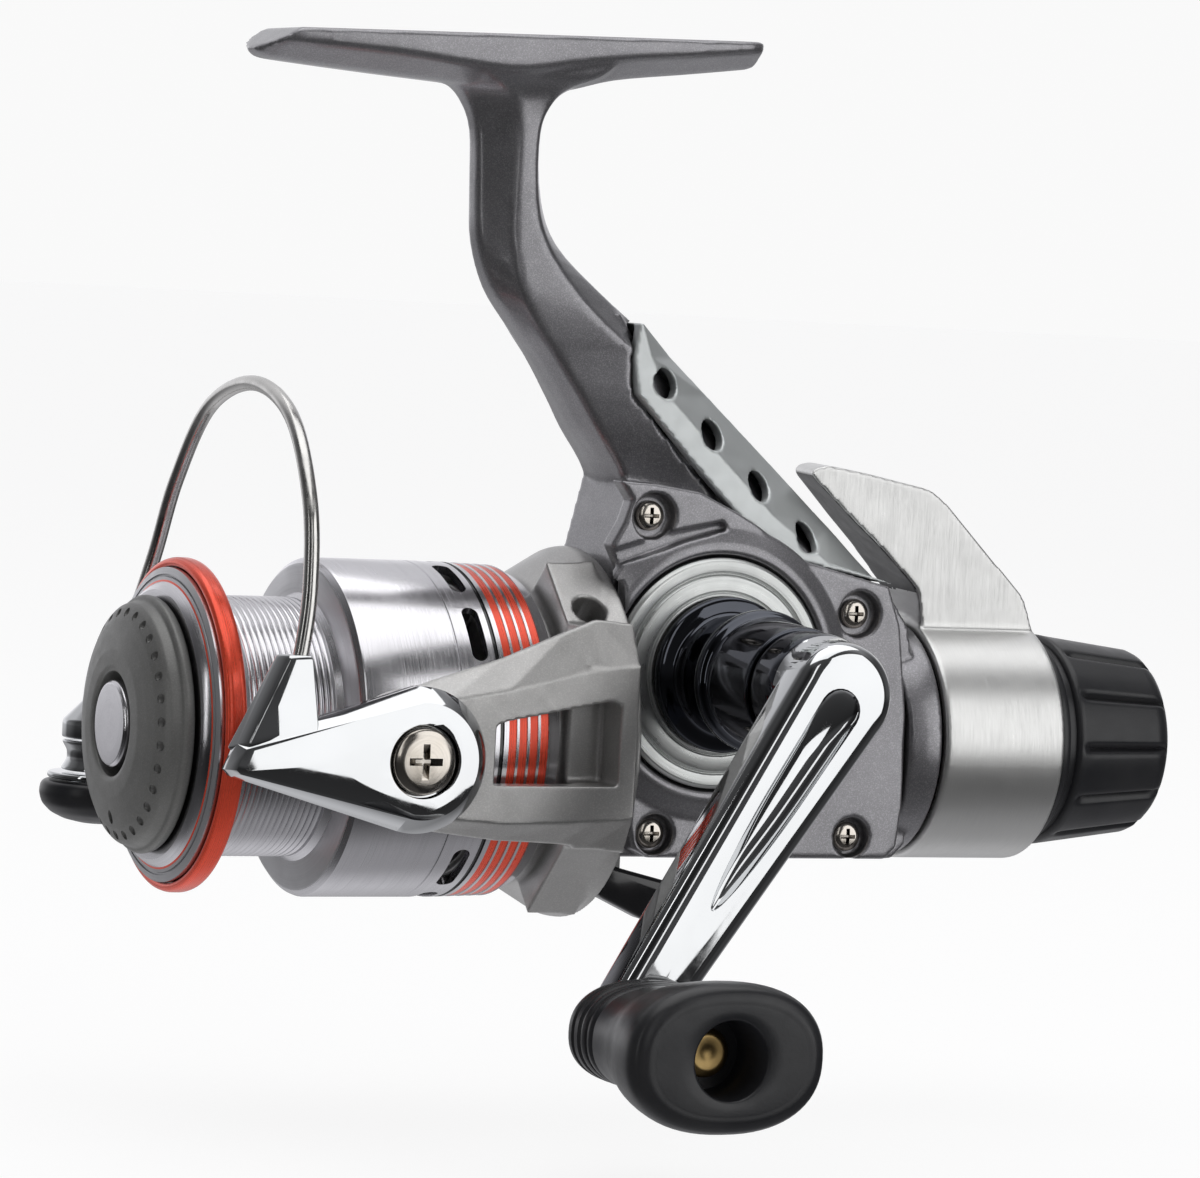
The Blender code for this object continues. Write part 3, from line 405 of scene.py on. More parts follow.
TRIM_SILVER = finish("trim_silver", (0.62, 0.645, 0.645), 0.7, 0.42, vary=0.05, grain=0.008,
                     grain_scale=1500.0, edge_wear_and_highlight=(0.72, 0.73, 0.73), hollow_shade=0.4, coat=0.1)
RED = finish("red_anodised", (0.92, 0.10, 0.05), 0.6, 0.28, (0.84, 0.085, 0.042), turned=0.0012,
             edge_wear_and_highlight=(0.95, 0.36, 0.28), edge_wear_and_highlight_width=0.12, hollow_shade=0.3, coat=0.25)
CAP_GREY = finish("cap_grey", (0.20, 0.20, 0.195), 0.5, 0.42, (0.17, 0.17, 0.166), flake=0.35,
                  flake_colour=(0.3, 0.3, 0.29), grain=0.012, grain_scale=3200.0, edge_wear_and_highlight=(0.22, 0.22, 0.215),
                  hollow_shade=0.6)
BLACK_PLASTIC = finish("black_plastic", (0.012, 0.0125, 0.015), 0.0, 0.33, (0.02, 0.02, 0.022), grain=0.014,
                       grain_scale=2600.0, edge_wear_and_highlight=(0.06, 0.06, 0.062), hollow_shade=0.4)
GLOSS_BLACK = finish("gloss_black", (0.01, 0.01, 0.011), 0.0, 0.12, (0.014, 0.014, 0.015), grain=0.003,
                     grain_scale=700.0, edge_wear_and_highlight=(0.05, 0.05, 0.052), coat=0.5)
STEEL = finish("steel", (0.60, 0.595, 0.60), 1.0, 0.2, vary=0.1, turned=0.003, edge_wear_and_highlight=(0.75, 0.74, 0.74),
               edge_wear_and_highlight_width=0.12, hollow_shade=0.5)
SCREW_STEEL = finish("screw_steel", (0.66, 0.62, 0.57), 1.0, 0.16, (0.56, 0.50, 0.42), turned=0.002,
                     edge_wear_and_highlight=(0.8, 0.78, 0.75), edge_wear_and_highlight_width=0.1, hollow_shade=0.85)
BRASS = finish("brass", (0.47, 0.33, 0.14), 1.0, 0.36, (0.33, 0.22, 0.09), grain=0.012, grain_scale=1600.0,
               edge_wear_and_highlight=(0.85, 0.66, 0.33), hollow_shade=0.6)
FELT = finish("felt", (0.34, 0.29, 0.20), 0.0, 0.92, (0.26, 0.22, 0.15), grain=0.15, grain_scale=4200.0,
              hollow_shade=0.3)
STEEL_WIRE = finish("steel_wire", (0.70, 0.69, 0.67), 1.0, 0.24, vary=0.08, grain=0.0015,
                    grain_scale=900.0, smears=0.4)

# ------------ foot, stem and gear case

SEAT = (-19.6, 91.0)
FOOT_SLOPE = 0.0367


def foot_top(x):
    return SEAT[1] + (x - SEAT[0]) * FOOT_SLOPE


# Along the foot: x, half width, depth of the side, depth at the middle
FOOT = ((-54.6, 3.8, 1.2, 2.9), (-53.4, 5.8, 1.5, 3.8), (-50.0, 6.9, 1.9, 4.3), (-37.0, 7.5, 2.9, 5.6),
        (-27.0, 7.5, 4.1, 6.5), (-19.6, 7.5, 4.6, 7.4), (-11.4, 7.5, 3.5, 7.2), (-4.0, 7.5, 2.8, 5.6),
        (6.0, 7.2, 2.1, 4.6), (13.0, 6.6, 1.5, 3.9), (15.6, 5.6, 1.3, 3.6), (16.8, 3.8, 1.1, 3.2))
# Down the stem: z, nose, front crease, its half width, rear edge, rear ridge, rear half width
STEM = ((89.4, -33.5, -28.0, 7.1, -4.5, -2.0, 7.1), (86.2, -31.0, -25.0, 6.6, -8.0, -5.5, 6.6),
        (84.4, -27.2, -21.4, 5.6, -12.0, -10.2, 5.6),
        (82.5, -24.9, -19.4, 5.0, -14.0, -12.6, 5.0), (78.5, -23.1, -18.2, 4.7, -15.4, -14.2, 4.7),
        (70.0, -22.6, -18.3, 4.7, -15.3, -13.5, 4.8), (64.0, -22.1, -18.3, 5.0, -13.7, -10.9, 5.3),
        (58.0, -19.9, -17.2, 5.5, -9.6, -4.2, 6.2), (53.0, -16.0, -14.4, 5.5, -4.3, 2.4, 7.0),
        (49.0, -12.4, -11.4, 5.6, 1.2, 7.2, 7.8), (44.0, -8.8, -8.0, 6.2, 4.4, 12.8, 9.1),
        (40.0, -6.2, -5.5, 6.5, 7.8, 17.2, 10.1), (34.0, -2.0, -1.6, 6.5, 13.6, 23.8, 11.5),
        (28.0, -1.8, -1.4, 7.0, 21.4, 30.2, 12.7), (22.0, -2.2, -1.8, 8.5, 29.0, 36.6, 13.8),
        (18.0, -2.4, -2.0, 10.0, 33.0, 38.0, 14.0))
# Down the trim: z, front edge, ridge, half width
TRIM = ((54.4, -0.6, 0.9, 6.8), (50.0, -1.5, 5.9, 7.6), (45.2, -1.3, 11.2, 8.9), (36.0, 6.7, 21.3, 11.2),
        (30.0, 12.4, 27.8, 12.4), (28.4, 14.9, 29.6, 12.7), (24.2, 21.2, 34.0, 13.4),
        (21.6, 34.4, 36.9, 13.9))
COVER_OUTLINE = [(-5.7, 34.0), (-0.7, 33.8), (5.9, 32.9), (11.5, 30.4), (14.9, 28.6), (21.2, 24.4),
                 (34.6, 21.3), (36.6, 16.0), (38.2, 4.0), (38.4, -8.0), (37.8, -13.6), (36.2, -15.2),
                 (1.0, -15.2), (-1.0, -14.2), (-2.0, -11.5), (-2.0, 16.0), (-4.8, 22.4), (-6.5, 25.6),
                 (-4.7, 28.9), (-3.9, 31.5)]
CASE_OUTLINE = [(-4.8, -14.0), (-4.8, 20.0), (-3.2, 27.0), (-1.6, 33.8), (11.0, 31.0), (24.0, 24.5),
                (36.0, 20.8), (39.6, 15.6), (40.8, 9.0), (40.8, -13.6), (39.0, -15.5), (-3.0, -15.5)]
RIGHT_OUTLINE = [(-4.8, -13.0), (-4.8, 17.0), (1.0, 22.5), (9.0, 28.0), (14.0, 29.0), (24.0, 24.0),
                 (36.0, 20.0), (39.6, 13.6), (40.0, 8.0), (40.0, -10.6), (37.0, -15.5), (-2.4, -15.5)]
CASE_HOLLOW = [(-2.8, -9.0), (-1.5, -10.4), (36.6, -10.4), (37.8, -9.0), (37.8, 13.0), (27.6, 13.6),
               (20.0, 22.0), (13.0, 25.0), (0.5, 25.2), (-2.8, 21.5)]
RIGHT_HOLLOW = [(-2.5, -8.6), (-1.3, -10.1), (36.3, -10.1), (37.4, -8.8), (37.4, 11.8), (27.4, 12.6),
                (20.6, 16.6), (17.8, 19.6), (12.4, 21.5), (5.0, 21.3), (0.4, 18.4), (-2.5, 14.2)]
COVER_SCREWS = ((-0.6, 29.5), (30.3, 17.4), (1.9, -12.1), (30.9, -12.3))
COVER_FACE = -14.5
SCREW_BORE = 1.25


def make_foot():
    rings = []
    for x, wide, side, depth in smooth_rows(FOOT, 4):
        top = foot_top(x)
        ring = [(x, -wide, top), (x, wide, top), (x, wide, top - side), (x, 0.34 * wide, top - depth),
                (x, -0.34 * wide, top - depth), (x, -wide, top - side)]
        rings.append(softened(ring, 0.7, True, 3))
    return loft(rings)


def stem_ring(z, nose, crease, front_wide, edge, ridge, rear_wide):
    ridge_wide = 0.35 * rear_wide
    ring = [(nose, -1.6, z), (crease, -front_wide, z), (edge, -rear_wide, z), (ridge, -ridge_wide, z),
            (ridge, ridge_wide, z), (edge, rear_wide, z), (crease, front_wide, z), (nose, 1.6, z)]
    return softened(ring, 0.6, True, 2)


def trim_rings(inset_by, front_shift, longer=0.0):
    rings = []
    for row, (z, front, ridge, wide) in enumerate(TRIM):
        z += longer * ((row == 0) - (row == len(TRIM) - 1))
        middle = front + 0.35 * max(ridge - front, 0.6)
        low, high = front + front_shift, ridge - 1.3 * inset_by
        middle = max(min(middle, high - 0.2), low + 0.2)
        high = max(high, middle + 0.2)
        side, narrow = wide - inset_by, 0.42 * wide - 0.5 * inset_by
        rings.append([(low, -side, z), (middle, -side, z), (high, -narrow, z),
                      (high, narrow, z), (middle, side, z), (low, side, z)])
    return rings


def hole(x, z, low, high, radius, steps=32):
    return placed(rod(low, high, radius, steps), "Y", (x, 0, z))


def make_body():
    rear_end = placed(lathe(softened([(33.0, 0), (33.0, 13.0), (37.5, 15.3), (41.0, 16.1), (43.2, 16.2),
                                      (43.2, 0)], 0.8), 96), "X")
    joined = [make_foot(), plate(CASE_OUTLINE, -11.0, 6.5), plate(RIGHT_OUTLINE, 6.0, 14.5, 0.0, 1.6),
              rear_end]
    trim_core = loft(trim_rings(2.9, -1.8, 1.2))
    shell = worked(loft([stem_ring(*row) for row in smooth_rows(STEM, 4)]), joined,
                   [loft(trim_rings(-2.0, -0.2, 0.1))])
    cover_room = plate(inset(anticlockwise(COVER_OUTLINE), -0.3), -25.0, -11.0)
    removed = [
        cover_room, plate(CASE_HOLLOW, -12.0, 3.6), plate(RIGHT_HOLLOW, 3.0, 12.4),
        hole(*OSCILLATION, -12.0, -3.0, 10.6), placed(rod(-12.0, -2.2, 7.7), "X"),
        placed(rod(30.0, 50.0, 4.4), "X"), placed(rod(30.0, 39.4, 1.25, 16), "X", (0, 0, -7.6)),
        hole(*CRANK, 10.0, 20.0, 6.7), placed(rod(-13.0, 7.4, 1.4, 16), "X", (0, 0, -13.2)),
        block((-2.6, -3.4, -18.0), (5.4, 3.4, -11.2)),
        plate([(-58.0, 86.0), (-54.9, 86.9), (-50.2, foot_top(-50.2)), (-50.2, 94.0), (-58.0, 94.0)],
              -12, 12)]
    removed += [hole(x, z, -12.0, -4.6, SCREW_BORE, 16) for x, z in COVER_SCREWS]
    shell = worked(shell, [trim_core], removed, voxel=0.42, passes=3)
    piece("gear_case_shell", shell, "housing", BODY_PAINT, "body_housing", sharp=None)


def rotor_room():
    profile = [(-4.8, 0), (-4.8, 25.6), (-6.6, 25.6), (-6.6, 32.4), (-45.0, 32.4), (-45.0, 0)]
    return placed(lathe(profile, 96), "X")


def make_cover():
    cover = plate(COVER_OUTLINE, COVER_FACE, -11.3, 0.5, 0.0, 3)
    collar = softened([(-13.0, 15.4), (-15.5, 15.5), (-15.9, 15.9), (-15.8, 16.9), (-14.4, 19.6),
                       (-13.0, 19.8)], 0.2, True, 2)
    collar = placed(lathe(collar, 96, True), "Y", (CRANK[0], 0, CRANK[1]))
    post = lathe([(-13.5, 0), (-13.5, 3.0), (-6.4, 3.0), (-6.4, 1.35), (-3.8, 1.35), (-3.8, 0)], 32)
    placed(post, "Y", (OSCILLATION[0], 0, OSCILLATION[1]))
    channel = [(-7.5, 24.6), (-7.0, 22.4), (4.0, 26.4), (10.1, 28.1), (9.3, 29.1), (2.0, 27.6)]
    gear_room = inset(anticlockwise(CASE_HOLLOW), 2.2)
    removed = [rotor_room(), plate(gear_room, -12.9, -10.0), loft(trim_rings(-0.3, -0.3, 0.3)),
               plate(channel, -16.5, COVER_FACE + 1.0), hole(*CRANK, -20.0, -10.0, 6.7)]
    for x, z in COVER_SCREWS:
        head_room = 3.1 if z > 0 else 2.7
        removed += [hole(x, z, -20.0, -10.0, SCREW_BORE, 16), hole(x, z, -20.0, -12.4, head_room)]
    cover = worked(cover, [collar], removed)
    cover = worked(cover, [post], voxel=0.3, passes=2)
    piece("case_cover_shell", cover, "housing", BODY_PAINT, "side_cover", sharp=None)


def make_trim():
    holes = [hole(3.1 + i * 6.73, 46.7 - i * 6.5, -20.0, 20.0, 2.0) for i in range(4)]
    trim = worked(loft(trim_rings(0, 0)), [], [loft(trim_rings(2.0, -4.0, 2.0)), *holes], voxel=0.27,
                  passes=3)
    piece("stem_trim_shell", trim, "housing", TRIM_SILVER, "stem_trim", sharp=None)


def cross(width, reach, low, high):
    """A tapered cross-shaped punch along Z from low to high, where high is the narrow end."""
    a, b = width / 2, reach
    outline = [(a, b), (a, a), (b, a), (b, -a), (a, -a), (a, -b), (-a, -b), (-a, -a), (-b, -a), (-b, a),
               (-a, a), (-a, b)]
    return loft([[(x * s, y * s, z) for x, y in outline] for s, z in ((1.15, low), (0.45, high))])


def turned_piece(name, profile, body, material, node, axis, at=(0, 0, 0), closed=False, steps=96,
                 removed=(), reach=0.3, shape_of=None):
    mesh = lathe(softened(profile, reach, closed, 3), steps, closed, shape_of)
    if removed:
        mesh = worked(mesh, [], removed)
    piece(name, mesh, body, material, node, axis, at)


def make_case_fittings():
    for number, (x, z) in enumerate(COVER_SCREWS, 1):
        profile = [(-5.0, 0), (-5.0, 1.0), (-12.5, 1.0), (-12.5, 2.0), (-13.1, 1.95), (-13.45, 1.3),
                   (-13.52, 0)]
        turned_piece(f"cover_screw_{number}", profile, "housing", SCREW_STEEL,
                     f"side_cover_screw_{number}", "Y", (x, 0, z), steps=40, reach=0.25,
                     removed=[cross(0.55, 1.15, -13.8, -12.6)])
    at = (CRANK[0], 0, CRANK[1])
    rings = [(-14.8, 4.0), (-14.8, 15.2), (-15.7, 15.2), (-16.2, 14.75), (-16.2, 13.35), (-15.95, 13.2),
             (-15.95, 13.05), (-16.55, 12.75), (-16.7, 10.9), (-16.55, 10.75), (-16.55, 10.6),
             (-16.95, 10.45), (-16.95, 10.1), (-16.6, 9.9), (-16.6, 4.0)]
    turned_piece("round_cover_plate", rings, "housing", COVER_SILVER, "round_cover", "Y", at, True, 128,
                 reach=0.12)
    cap = [(14.8, 3.6), (14.8, 11.0), (15.4, 11.0), (16.0, 10.4), (16.0, 8.0), (15.7, 7.8), (15.7, 3.6)]
    turned_piece("bearing_cap_plate", cap, "housing", COVER_SILVER, "bearing_cap_right", "Y", at, True,
                 reach=0.15)


def make_paddle():
    outline = softened([(0.3, -17.2), (4.0, -18.2), (13.1, -20.4), (13.6, -22.4), (9.6, -24.9),
                        (7.4, -25.1), (0.3, -21.8)], 0.9, True, 4)
    paddle = plate(outline, -1.8, 1.8, 0.6, 0.6, 3)
    neck = block((0.3, -1.2, -18.4), (3.4, 1.2, -13.2))
    barrel = placed(rod(-2.3, 5.0, 1.8, 24), "X", (0, 0, -13.2))
    shaft = placed(rod(-7.9, 7.0, 1.1, 16), "X", (0, 0, -13.2))
    piece("reverse_lever_paddle", worked(paddle, [neck, barrel, shaft]), "anti_reverse", GLOSS_BLACK,
          "anti_reverse_lever")


# ------------ crank

def arm_recess(heading):
    """The bowl in the crank arm's face: wide and round at the top, drawn out thin at the knob's end."""
    along, across = Vector((cos(heading), sin(heading))), Vector((-sin(heading), cos(heading)))
    levels, middle, length, depth = 11, 15.5, 33.0, 2.0
    rings = []
    for level in range(levels):
        tilt = 0.5 * pi * level / (levels - 0.4)
        ring = []
        for turn in turns(64):
            share = 0.5 - 0.5 * cos(turn)
            top_end, low_end = max(0.0, 1 - share / 0.09), max(0.0, (share - 0.45) / 0.55)
            half = (3.0 - share) * sqrt(1 - top_end ** 2) * sqrt(1 - low_end ** 2) * cos(tilt)
            run = middle + (share - 0.5) * length * (0.35 + 0.65 * cos(tilt))
            point = Vector(CRANK) + along * run + across * (half if turn < pi else -half)
            ring.append((point.x, -52.6 + depth * sin(tilt), point.y))
        rings.append(ring)
    return loft([[(x, -54.0, z) for x, _, z in rings[0]], *rings])


def make_crank():
    at = (CRANK[0], 0, CRANK[1])
    tube = [(-17.4, 0), (-17.4, 10.2), (-18.5, 10.25), (-18.9, 9.6), (-19.3, 8.0), (-21.0, 7.5),
            (-24.5, 7.5), (-26.3, 8.7), (-27.2, 9.25), (-28.6, 9.3), (-29.2, 8.5), (-29.8, 8.25),
            (-39.3, 7.9), (-39.4, 7.6), (-39.4, 0)]
    turned_piece("crank_tube", tube, "crank", DARK_CHROME, "handle_tube", "Y", at, steps=128, reach=0.5)
    heading = atan2(KNOB[1] - CRANK[1], KNOB[0] - CRANK[0])
    in_degrees = heading * 180 / pi
    outline = arc(CRANK, 6.9, in_degrees + 82, in_degrees + 278, 41)
    outline += arc(KNOB, 4.5, in_degrees - 82, in_degrees + 82, 29)
    arm = plate(outline, -52.4, -45.6, 2.3, 1.5, 8)
    hub = lathe(softened([(-39.7, 0), (-39.7, 7.3), (-40.1, 7.6), (-45.0, 7.6), (-48.0, 6.6), (-48.0, 0)],
                         0.8, steps=5), 96)
    placed(hub, "Y", at)
    arm = worked(arm, [hub], [arm_recess(heading)])
    for face in arm.polygons:
        face.material_index = int(face.center.y / MM > -46.0)
    piece("crank_arm", arm, "crank", [CHROME, DARK_CHROME], "handle_arm")
    rivet = [(-52.7, 0), (-52.7, 2.0), (-71.4, 2.0), (-71.5, 3.1), (-72.2, 3.0), (-72.7, 2.2), (-72.6, 1.1),
             (-72.3, 0)]
    turned_piece("knob_rivet", rivet, "crank", BRASS, "knob_pin", "Y", (KNOB[0], 0, KNOB[1]), steps=48)

    def knurled(turn, height, radius):
        on_the_rim = radius > 6.2 and height < 19.3
        return radius - (0.22 * max(0.0, cos(18 * turn)) if on_the_rim else 0.0)

    cap = [(16.3, 0), (16.3, 6.5), (19.2, 6.5), (20.0, 5.6), (20.0, 3.0), (19.6, 2.6), (19.6, 0)]
    turned_piece("crank_lock_cap", cap, "crank", CHROME, "handle_lock_cap", "Y", at, shape_of=knurled)


# Out along the grip: y, half width, half height
KNOB_STATIONS = ((-52.8, 8.4, 5.2), (-53.8, 9.8, 6.4), (-57.0, 10.0, 6.6), (-60.5, 10.0, 6.6),
                 (-66.0, 10.6, 7.2), (-71.5, 12.2, 8.6), (-76.4, 13.0, 9.2), (-78.4, 12.6, 8.8),
                 (-79.25, 11.4, 7.7), (-79.38, 10.0, 6.6))
KNOB_BORE = ((-79.36, 5.25), (-79.25, 5.0), (-79.0, 4.85), (-71.4, 4.75), (-71.2, 4.6), (-71.2, 2.4),
             (-71.0, 2.25), (-52.9, 2.25), (-52.8, 2.4))
GROOVES = (-55.4, -57.2, -59.0, -60.8)
GROOVE_DEPTH = 0.55
GROOVE_REACH = 0.42


def oval(y, wide, high, power=1.0):
    """A ring about the knob's axis, an ellipse at power 1 and squarer below it."""
    def swing(value, half):
        return half * abs(value) ** power * (1 if value >= 0 else -1)

    return [(KNOB[0] + swing(cos(t), wide), y, KNOB[1] + swing(sin(t), high)) for t in turns(72)]


def make_knob():
    rings = []
    for y, wide, high in smooth_rows(KNOB_STATIONS, 12):
        dip = sum(GROOVE_DEPTH * max(0.0, 1 - ((y - g) / GROOVE_REACH) ** 2) for g in GROOVES)
        rings.append(oval(y, wide - dip, high - dip, 0.86))
    rings.append(oval(-79.38, 7.0, 6.0, 0.95))
    rings += [oval(y, radius, radius) for y, radius in KNOB_BORE]
    piece("crank_knob_grip", loft(rings, cyclic=True), "knob", BLACK_PLASTIC, "handle_knob",
          sharp=radians(40))


# ------------ spool

STRIPES = [(-23.1 + 1.5 * i, -22.05 + 1.5 * i) for i in range(4)]
RIDGES = 14
RIDGE_PITCH = 0.825


def skirt_vent(angle):
    """A cutter, with round ends, for one of the slots round the skirt."""
    half, end = 3.0, 1.15
    rings = []
    for radius in (19.0, 24.0):
        ring = []
        for t in turns(28):
            side = half * (1 if cos(t) > 0 else -1) + end * cos(t)
            ring.append((radius * cos(angle) - side * sin(angle), radius * sin(angle) + side * cos(angle),
                         -26.4 + end * sin(t)))
        rings.append(ring)
    return loft(rings)


def make_spool():
    profile = [(-63.5, 2.3), (-63.5, 17.3), (-63.2, 17.75), (-62.45, 18.3), (-62.35, 18.55),
               (-62.3, 18.95), (-62.05, 19.0), (-62.05, 19.25), (-62.25, 19.3), (-62.0, 20.2),
               (-58.8, 20.2), (-58.4, 19.0), (-57.5, 17.2), (-56.6, 16.7)]
    for i in range(RIDGES):
        start = -56.4 + i * RIDGE_PITCH
        profile += [(start + RIDGE_PITCH * share, 16.62 + 0.2 * sin(pi * share))
                    for share in (0.0, 0.2, 0.4, 0.6, 0.8)]
    # The skirt, then its stripes, then its inside and the hub
    profile += [(-44.8, 16.75), (-44.0, 17.4), (-43.6, 20.9), (-43.45, 21.2), (-42.9, 21.85), (-42.5, 22.0),
                (-29.7, 21.97), (-29.6, 21.85), (-29.45, 21.85), (-29.35, 21.97), (-24.4, 21.94),
                (-24.3, 21.7), (-23.9, 21.7), (-23.8, 21.92)]
    for low, high in STRIPES:
        radius = 21.9 - 0.03 * (low - STRIPES[0][0])
        profile += [(low - 0.04, radius), (low, radius - 0.12), (high, radius - 0.14),
                    (high + 0.04, radius - 0.02)]
    profile += [(-17.2, 21.6), (-17.05, 21.4), (-15.6, 20.85), (-15.45, 20.5), (-15.5, 20.2),
                (-24.0, 20.8), (-41.2, 20.8), (-42.0, 19.8), (-42.4, 14.0), (-56.5, 14.0), (-57.5, 13.0),
                (-57.5, 6.0), (-41.0, 6.0), (-41.0, 2.3)]
    vents = [skirt_vent(radians(200.5 + 30 * number)) for number in range(12)]
    mesh = worked(lathe(profile, 144, True), [], vents)
    for face in mesh.polygons:
        centre = face.center / MM
        radius = sqrt(centre.x ** 2 + centre.y ** 2)
        stripe = any(low < centre.z < high for low, high in STRIPES) and radius > 21.2
        grey = (-62.4 < centre.z < -61.9 and radius > 18.6) or (-44.1 < centre.z < -43.5 and radius > 17.2)
        red_line = -62.5 < centre.z < -62.25 and 18.25 < radius < 18.6
        groove = -24.35 < centre.z < -23.85 and radius > 21.5
        face.material_index = 1 if stripe or red_line else 2 if grey else 3 if groove else 0
    piece("spool_shell", mesh, "spool_shaft", [SPOOL_SILVER, RED, FLANGE_GREY, GLOSS_BLACK], "spool", "X",
          sharp=radians(28))


def make_spool_front():
    lip = [(-61.4, 20.3), (-61.55, 20.8), (-61.3, 21.3), (-60.7, 21.5), (-59.5, 21.5), (-58.9, 21.3),
           (-58.65, 20.8), (-58.8, 20.3)]
    turned_piece("spool_lip_ring", lip, "spool_shaft", RED, "spool_lip", "X", closed=True, steps=144,
                 reach=0.2)

    cap = [(-63.8, 3.2), (-63.8, 16.2), (-64.1, 16.45), (-64.9, 16.6), (-65.3, 16.3), (-65.45, 15.9),
           (-65.7, 15.75), (-66.7, 15.5), (-67.3, 14.9), (-68.1, 13.4), (-68.6, 11.6), (-69.05, 9.5),
           (-69.15, 7.4), (-69.0, 6.75), (-65.4, 6.4), (-65.4, 3.2)]
    cuts = [placed(lathe([(-0.7, 0), (-0.5, 0.5), (0, 0.7), (0.5, 0.5), (0.7, 0)], 16), "Z",
                   (14.35 * cos(turn), 14.35 * sin(turn), -67.72)) for turn in turns(30)]
    cuts.append(loft([[(12.0 + s * cos(t), s * 0.75 * sin(t), z) for t in turns(24)]
                      for s, z in ((1.0, -70.0), (0.8, -67.2))]))
    turned_piece("spool_cap_dome", cap, "spool_shaft", CAP_GREY, "spool_cap", "X", closed=True, steps=128,
                 removed=cuts, reach=0.25)
    button = [(-64.8, 0), (-64.8, 2.8), (-67.1, 2.8), (-67.1, 5.6), (-68.9, 5.6), (-69.2, 5.3),
              (-69.3, 5.25), (-69.32, 3.0), (-69.34, 0)]
    turned_piece("spool_button_face", button, "release_button", SPOOL_SILVER, "spool_button", "X",
                 reach=0.2)


# ------------ rotor and bail

ARM_INNER = 22.9
ARM_OUTER = 26.4


def tilted(angle):
    return Matrix.Rotation(radians(angle), 4, "X")


def between(side, near, far):
    """The two heights along Y at near and far from the middle on one side, lowest first."""
    return sorted((side * near, side * far))


def screw_head(name, side, node):
    head = [(ARM_INNER, 0), (ARM_INNER, 2.0), (29.5, 2.0), (29.5, 4.2), (29.8, 4.3), (30.2, 4.15),
            (30.55, 3.2), (30.7, 0)]
    turned_piece(name, [(side * y, r) for y, r in head], "rotor_body", SCREW_STEEL, node, "Y",
                 (BAIL[0], 0, BAIL[1]), steps=64, removed=[cross(0.95, 2.3, side * 30.9, side * 29.6)])


def make_rotor():
    cup = [(-14.4, 3.8), (-14.4, 18.0), (-24.0, 18.0), (-24.0, 19.5), (-14.6, 19.5), (-14.4, 20.3),
           (-7.2, 24.4), (-5.5, 24.6), (-5.5, 23.2), (-7.4, 22.9), (-12.2, 19.4), (-12.2, 7.0),
           (-9.5, 7.0), (-9.5, 3.8)]
    # Along the arm: place, top, upper ridge, lower ridge, bottom
    arm = ((-7.2, 16.0, 10.8, -8.9, -13.5), (-12.5, 16.5, 10.3, -9.2, -12.9),
           (-16.6, 14.9, 9.4, -9.5, -12.4), (-25.5, 11.2, 7.3, -9.7, -12.0),
           (-34.8, 8.3, 5.6, -9.0, -10.9), (-38.4, 7.0, 5.0, -8.4, -10.0))
    window = [(-27.0, 2.8), (-25.4, 3.4), (-11.0, 6.2), (-9.5, 5.8), (-9.5, -4.7), (-27.0, -4.8)]
    joined, removed = [], []
    for side in (-1, 1):
        inner, outer = side * ARM_INNER, side * ARM_OUTER
        rims = (1.2, 0.0) if side < 0 else (0.0, 1.2)
        joined.append(plate(arc(BAIL, 8.6, 0, 354, 60), *sorted((inner, outer)), *rims, 1))
        joined.append(loft([[(x, inner, top), (x, side * 23.5, top), (x, outer, upper),
                             (x, outer, lower), (x, side * 24.0, bottom), (x, inner, bottom)]
                            for x, top, upper, lower, bottom in arm]))
        joined.append(loft([[(x, side * 18.6, 15.6), (x, side * 23.4, 15.6), (x, side * 26.3, 10.6),
                             (x, side * 26.3, -9.0), (x, side * 23.8, -13.1), (x, side * 18.6, -13.1)]
                            for x in (-14.3, -7.3)]))
        for lean in (44, 136) if side < 0 else ():
            panel = [[(x, y, z) for x, y in ((-14.2, -8.2), (-7.2, -8.6), (-7.2, 8.6), (-14.2, 8.2))]
                     for z in (18.4, 24.0)]
            joined.append(placed(loft(panel), turn=tilted(lean)))
        removed.append(plate(window, *between(side, 20.6, 30.0)))
        removed.append(placed(rod(16.0, 30.0, 2.3), "Z", (-10.3, 0, 0), tilted(-side * 44)))
        removed.append(hole(*BAIL, *between(side, 20.0, 32.0), 2.25))
    removed.append(placed(rod(-30.0, 0.0, 3.8), "X"))
    cup = placed(lathe(softened(cup, 0.4, True, 3), 120, True), "X")
    shell = worked(cup, joined, removed, voxel=0.3, passes=2)
    piece("rotor_casting", shell, "rotor_body", ROTOR_PAINT, "rotor", sharp=None)
    screw_head("pivot_screw_near", -1, "pivot_screw_left")
    screw_head("pivot_screw_far", 1, "pivot_screw_right")


def bail_plate(outline, side, joined):
    """A chamfered plate whose outer face is crowned, so that what it mirrors changes along it."""
    outline = anticlockwise(list(outline))
    rim = inset(outline, 1.9, lambda p: min(1.0, max(0.3, (p.x + 64.5) / 7.0)))
    middle = Vector((-51.0, -1.8))
    rings = [(26.8, outline), (28.0, outline)]
    for share in (0.0, 0.1, 0.25, 0.4, 0.55, 0.7, 0.85, 0.97):
        rings.append((30.15 + 0.42 * (1 - (1 - share) ** 2),
                      [tuple(Vector(p).lerp(middle, share)) for p in rim]))
    made = loft([[(x, side * y, z) for x, z in ring] for y, ring in rings])
    bore = [(20.0, 0), (20.0, 5.6), (28.7, 5.6), (28.7, 2.3), (29.3, 2.3), (29.3, 4.6), (30.3, 4.7),
            (30.7, 5.1), (40.0, 5.1), (40.0, 0)]
    bore = placed(lathe([(side * y, r) for y, r in bore], 64), "Y", (BAIL[0], 0, BAIL[1]))
    return worked(worked(made, joined, [bore]), bevel=0.14)


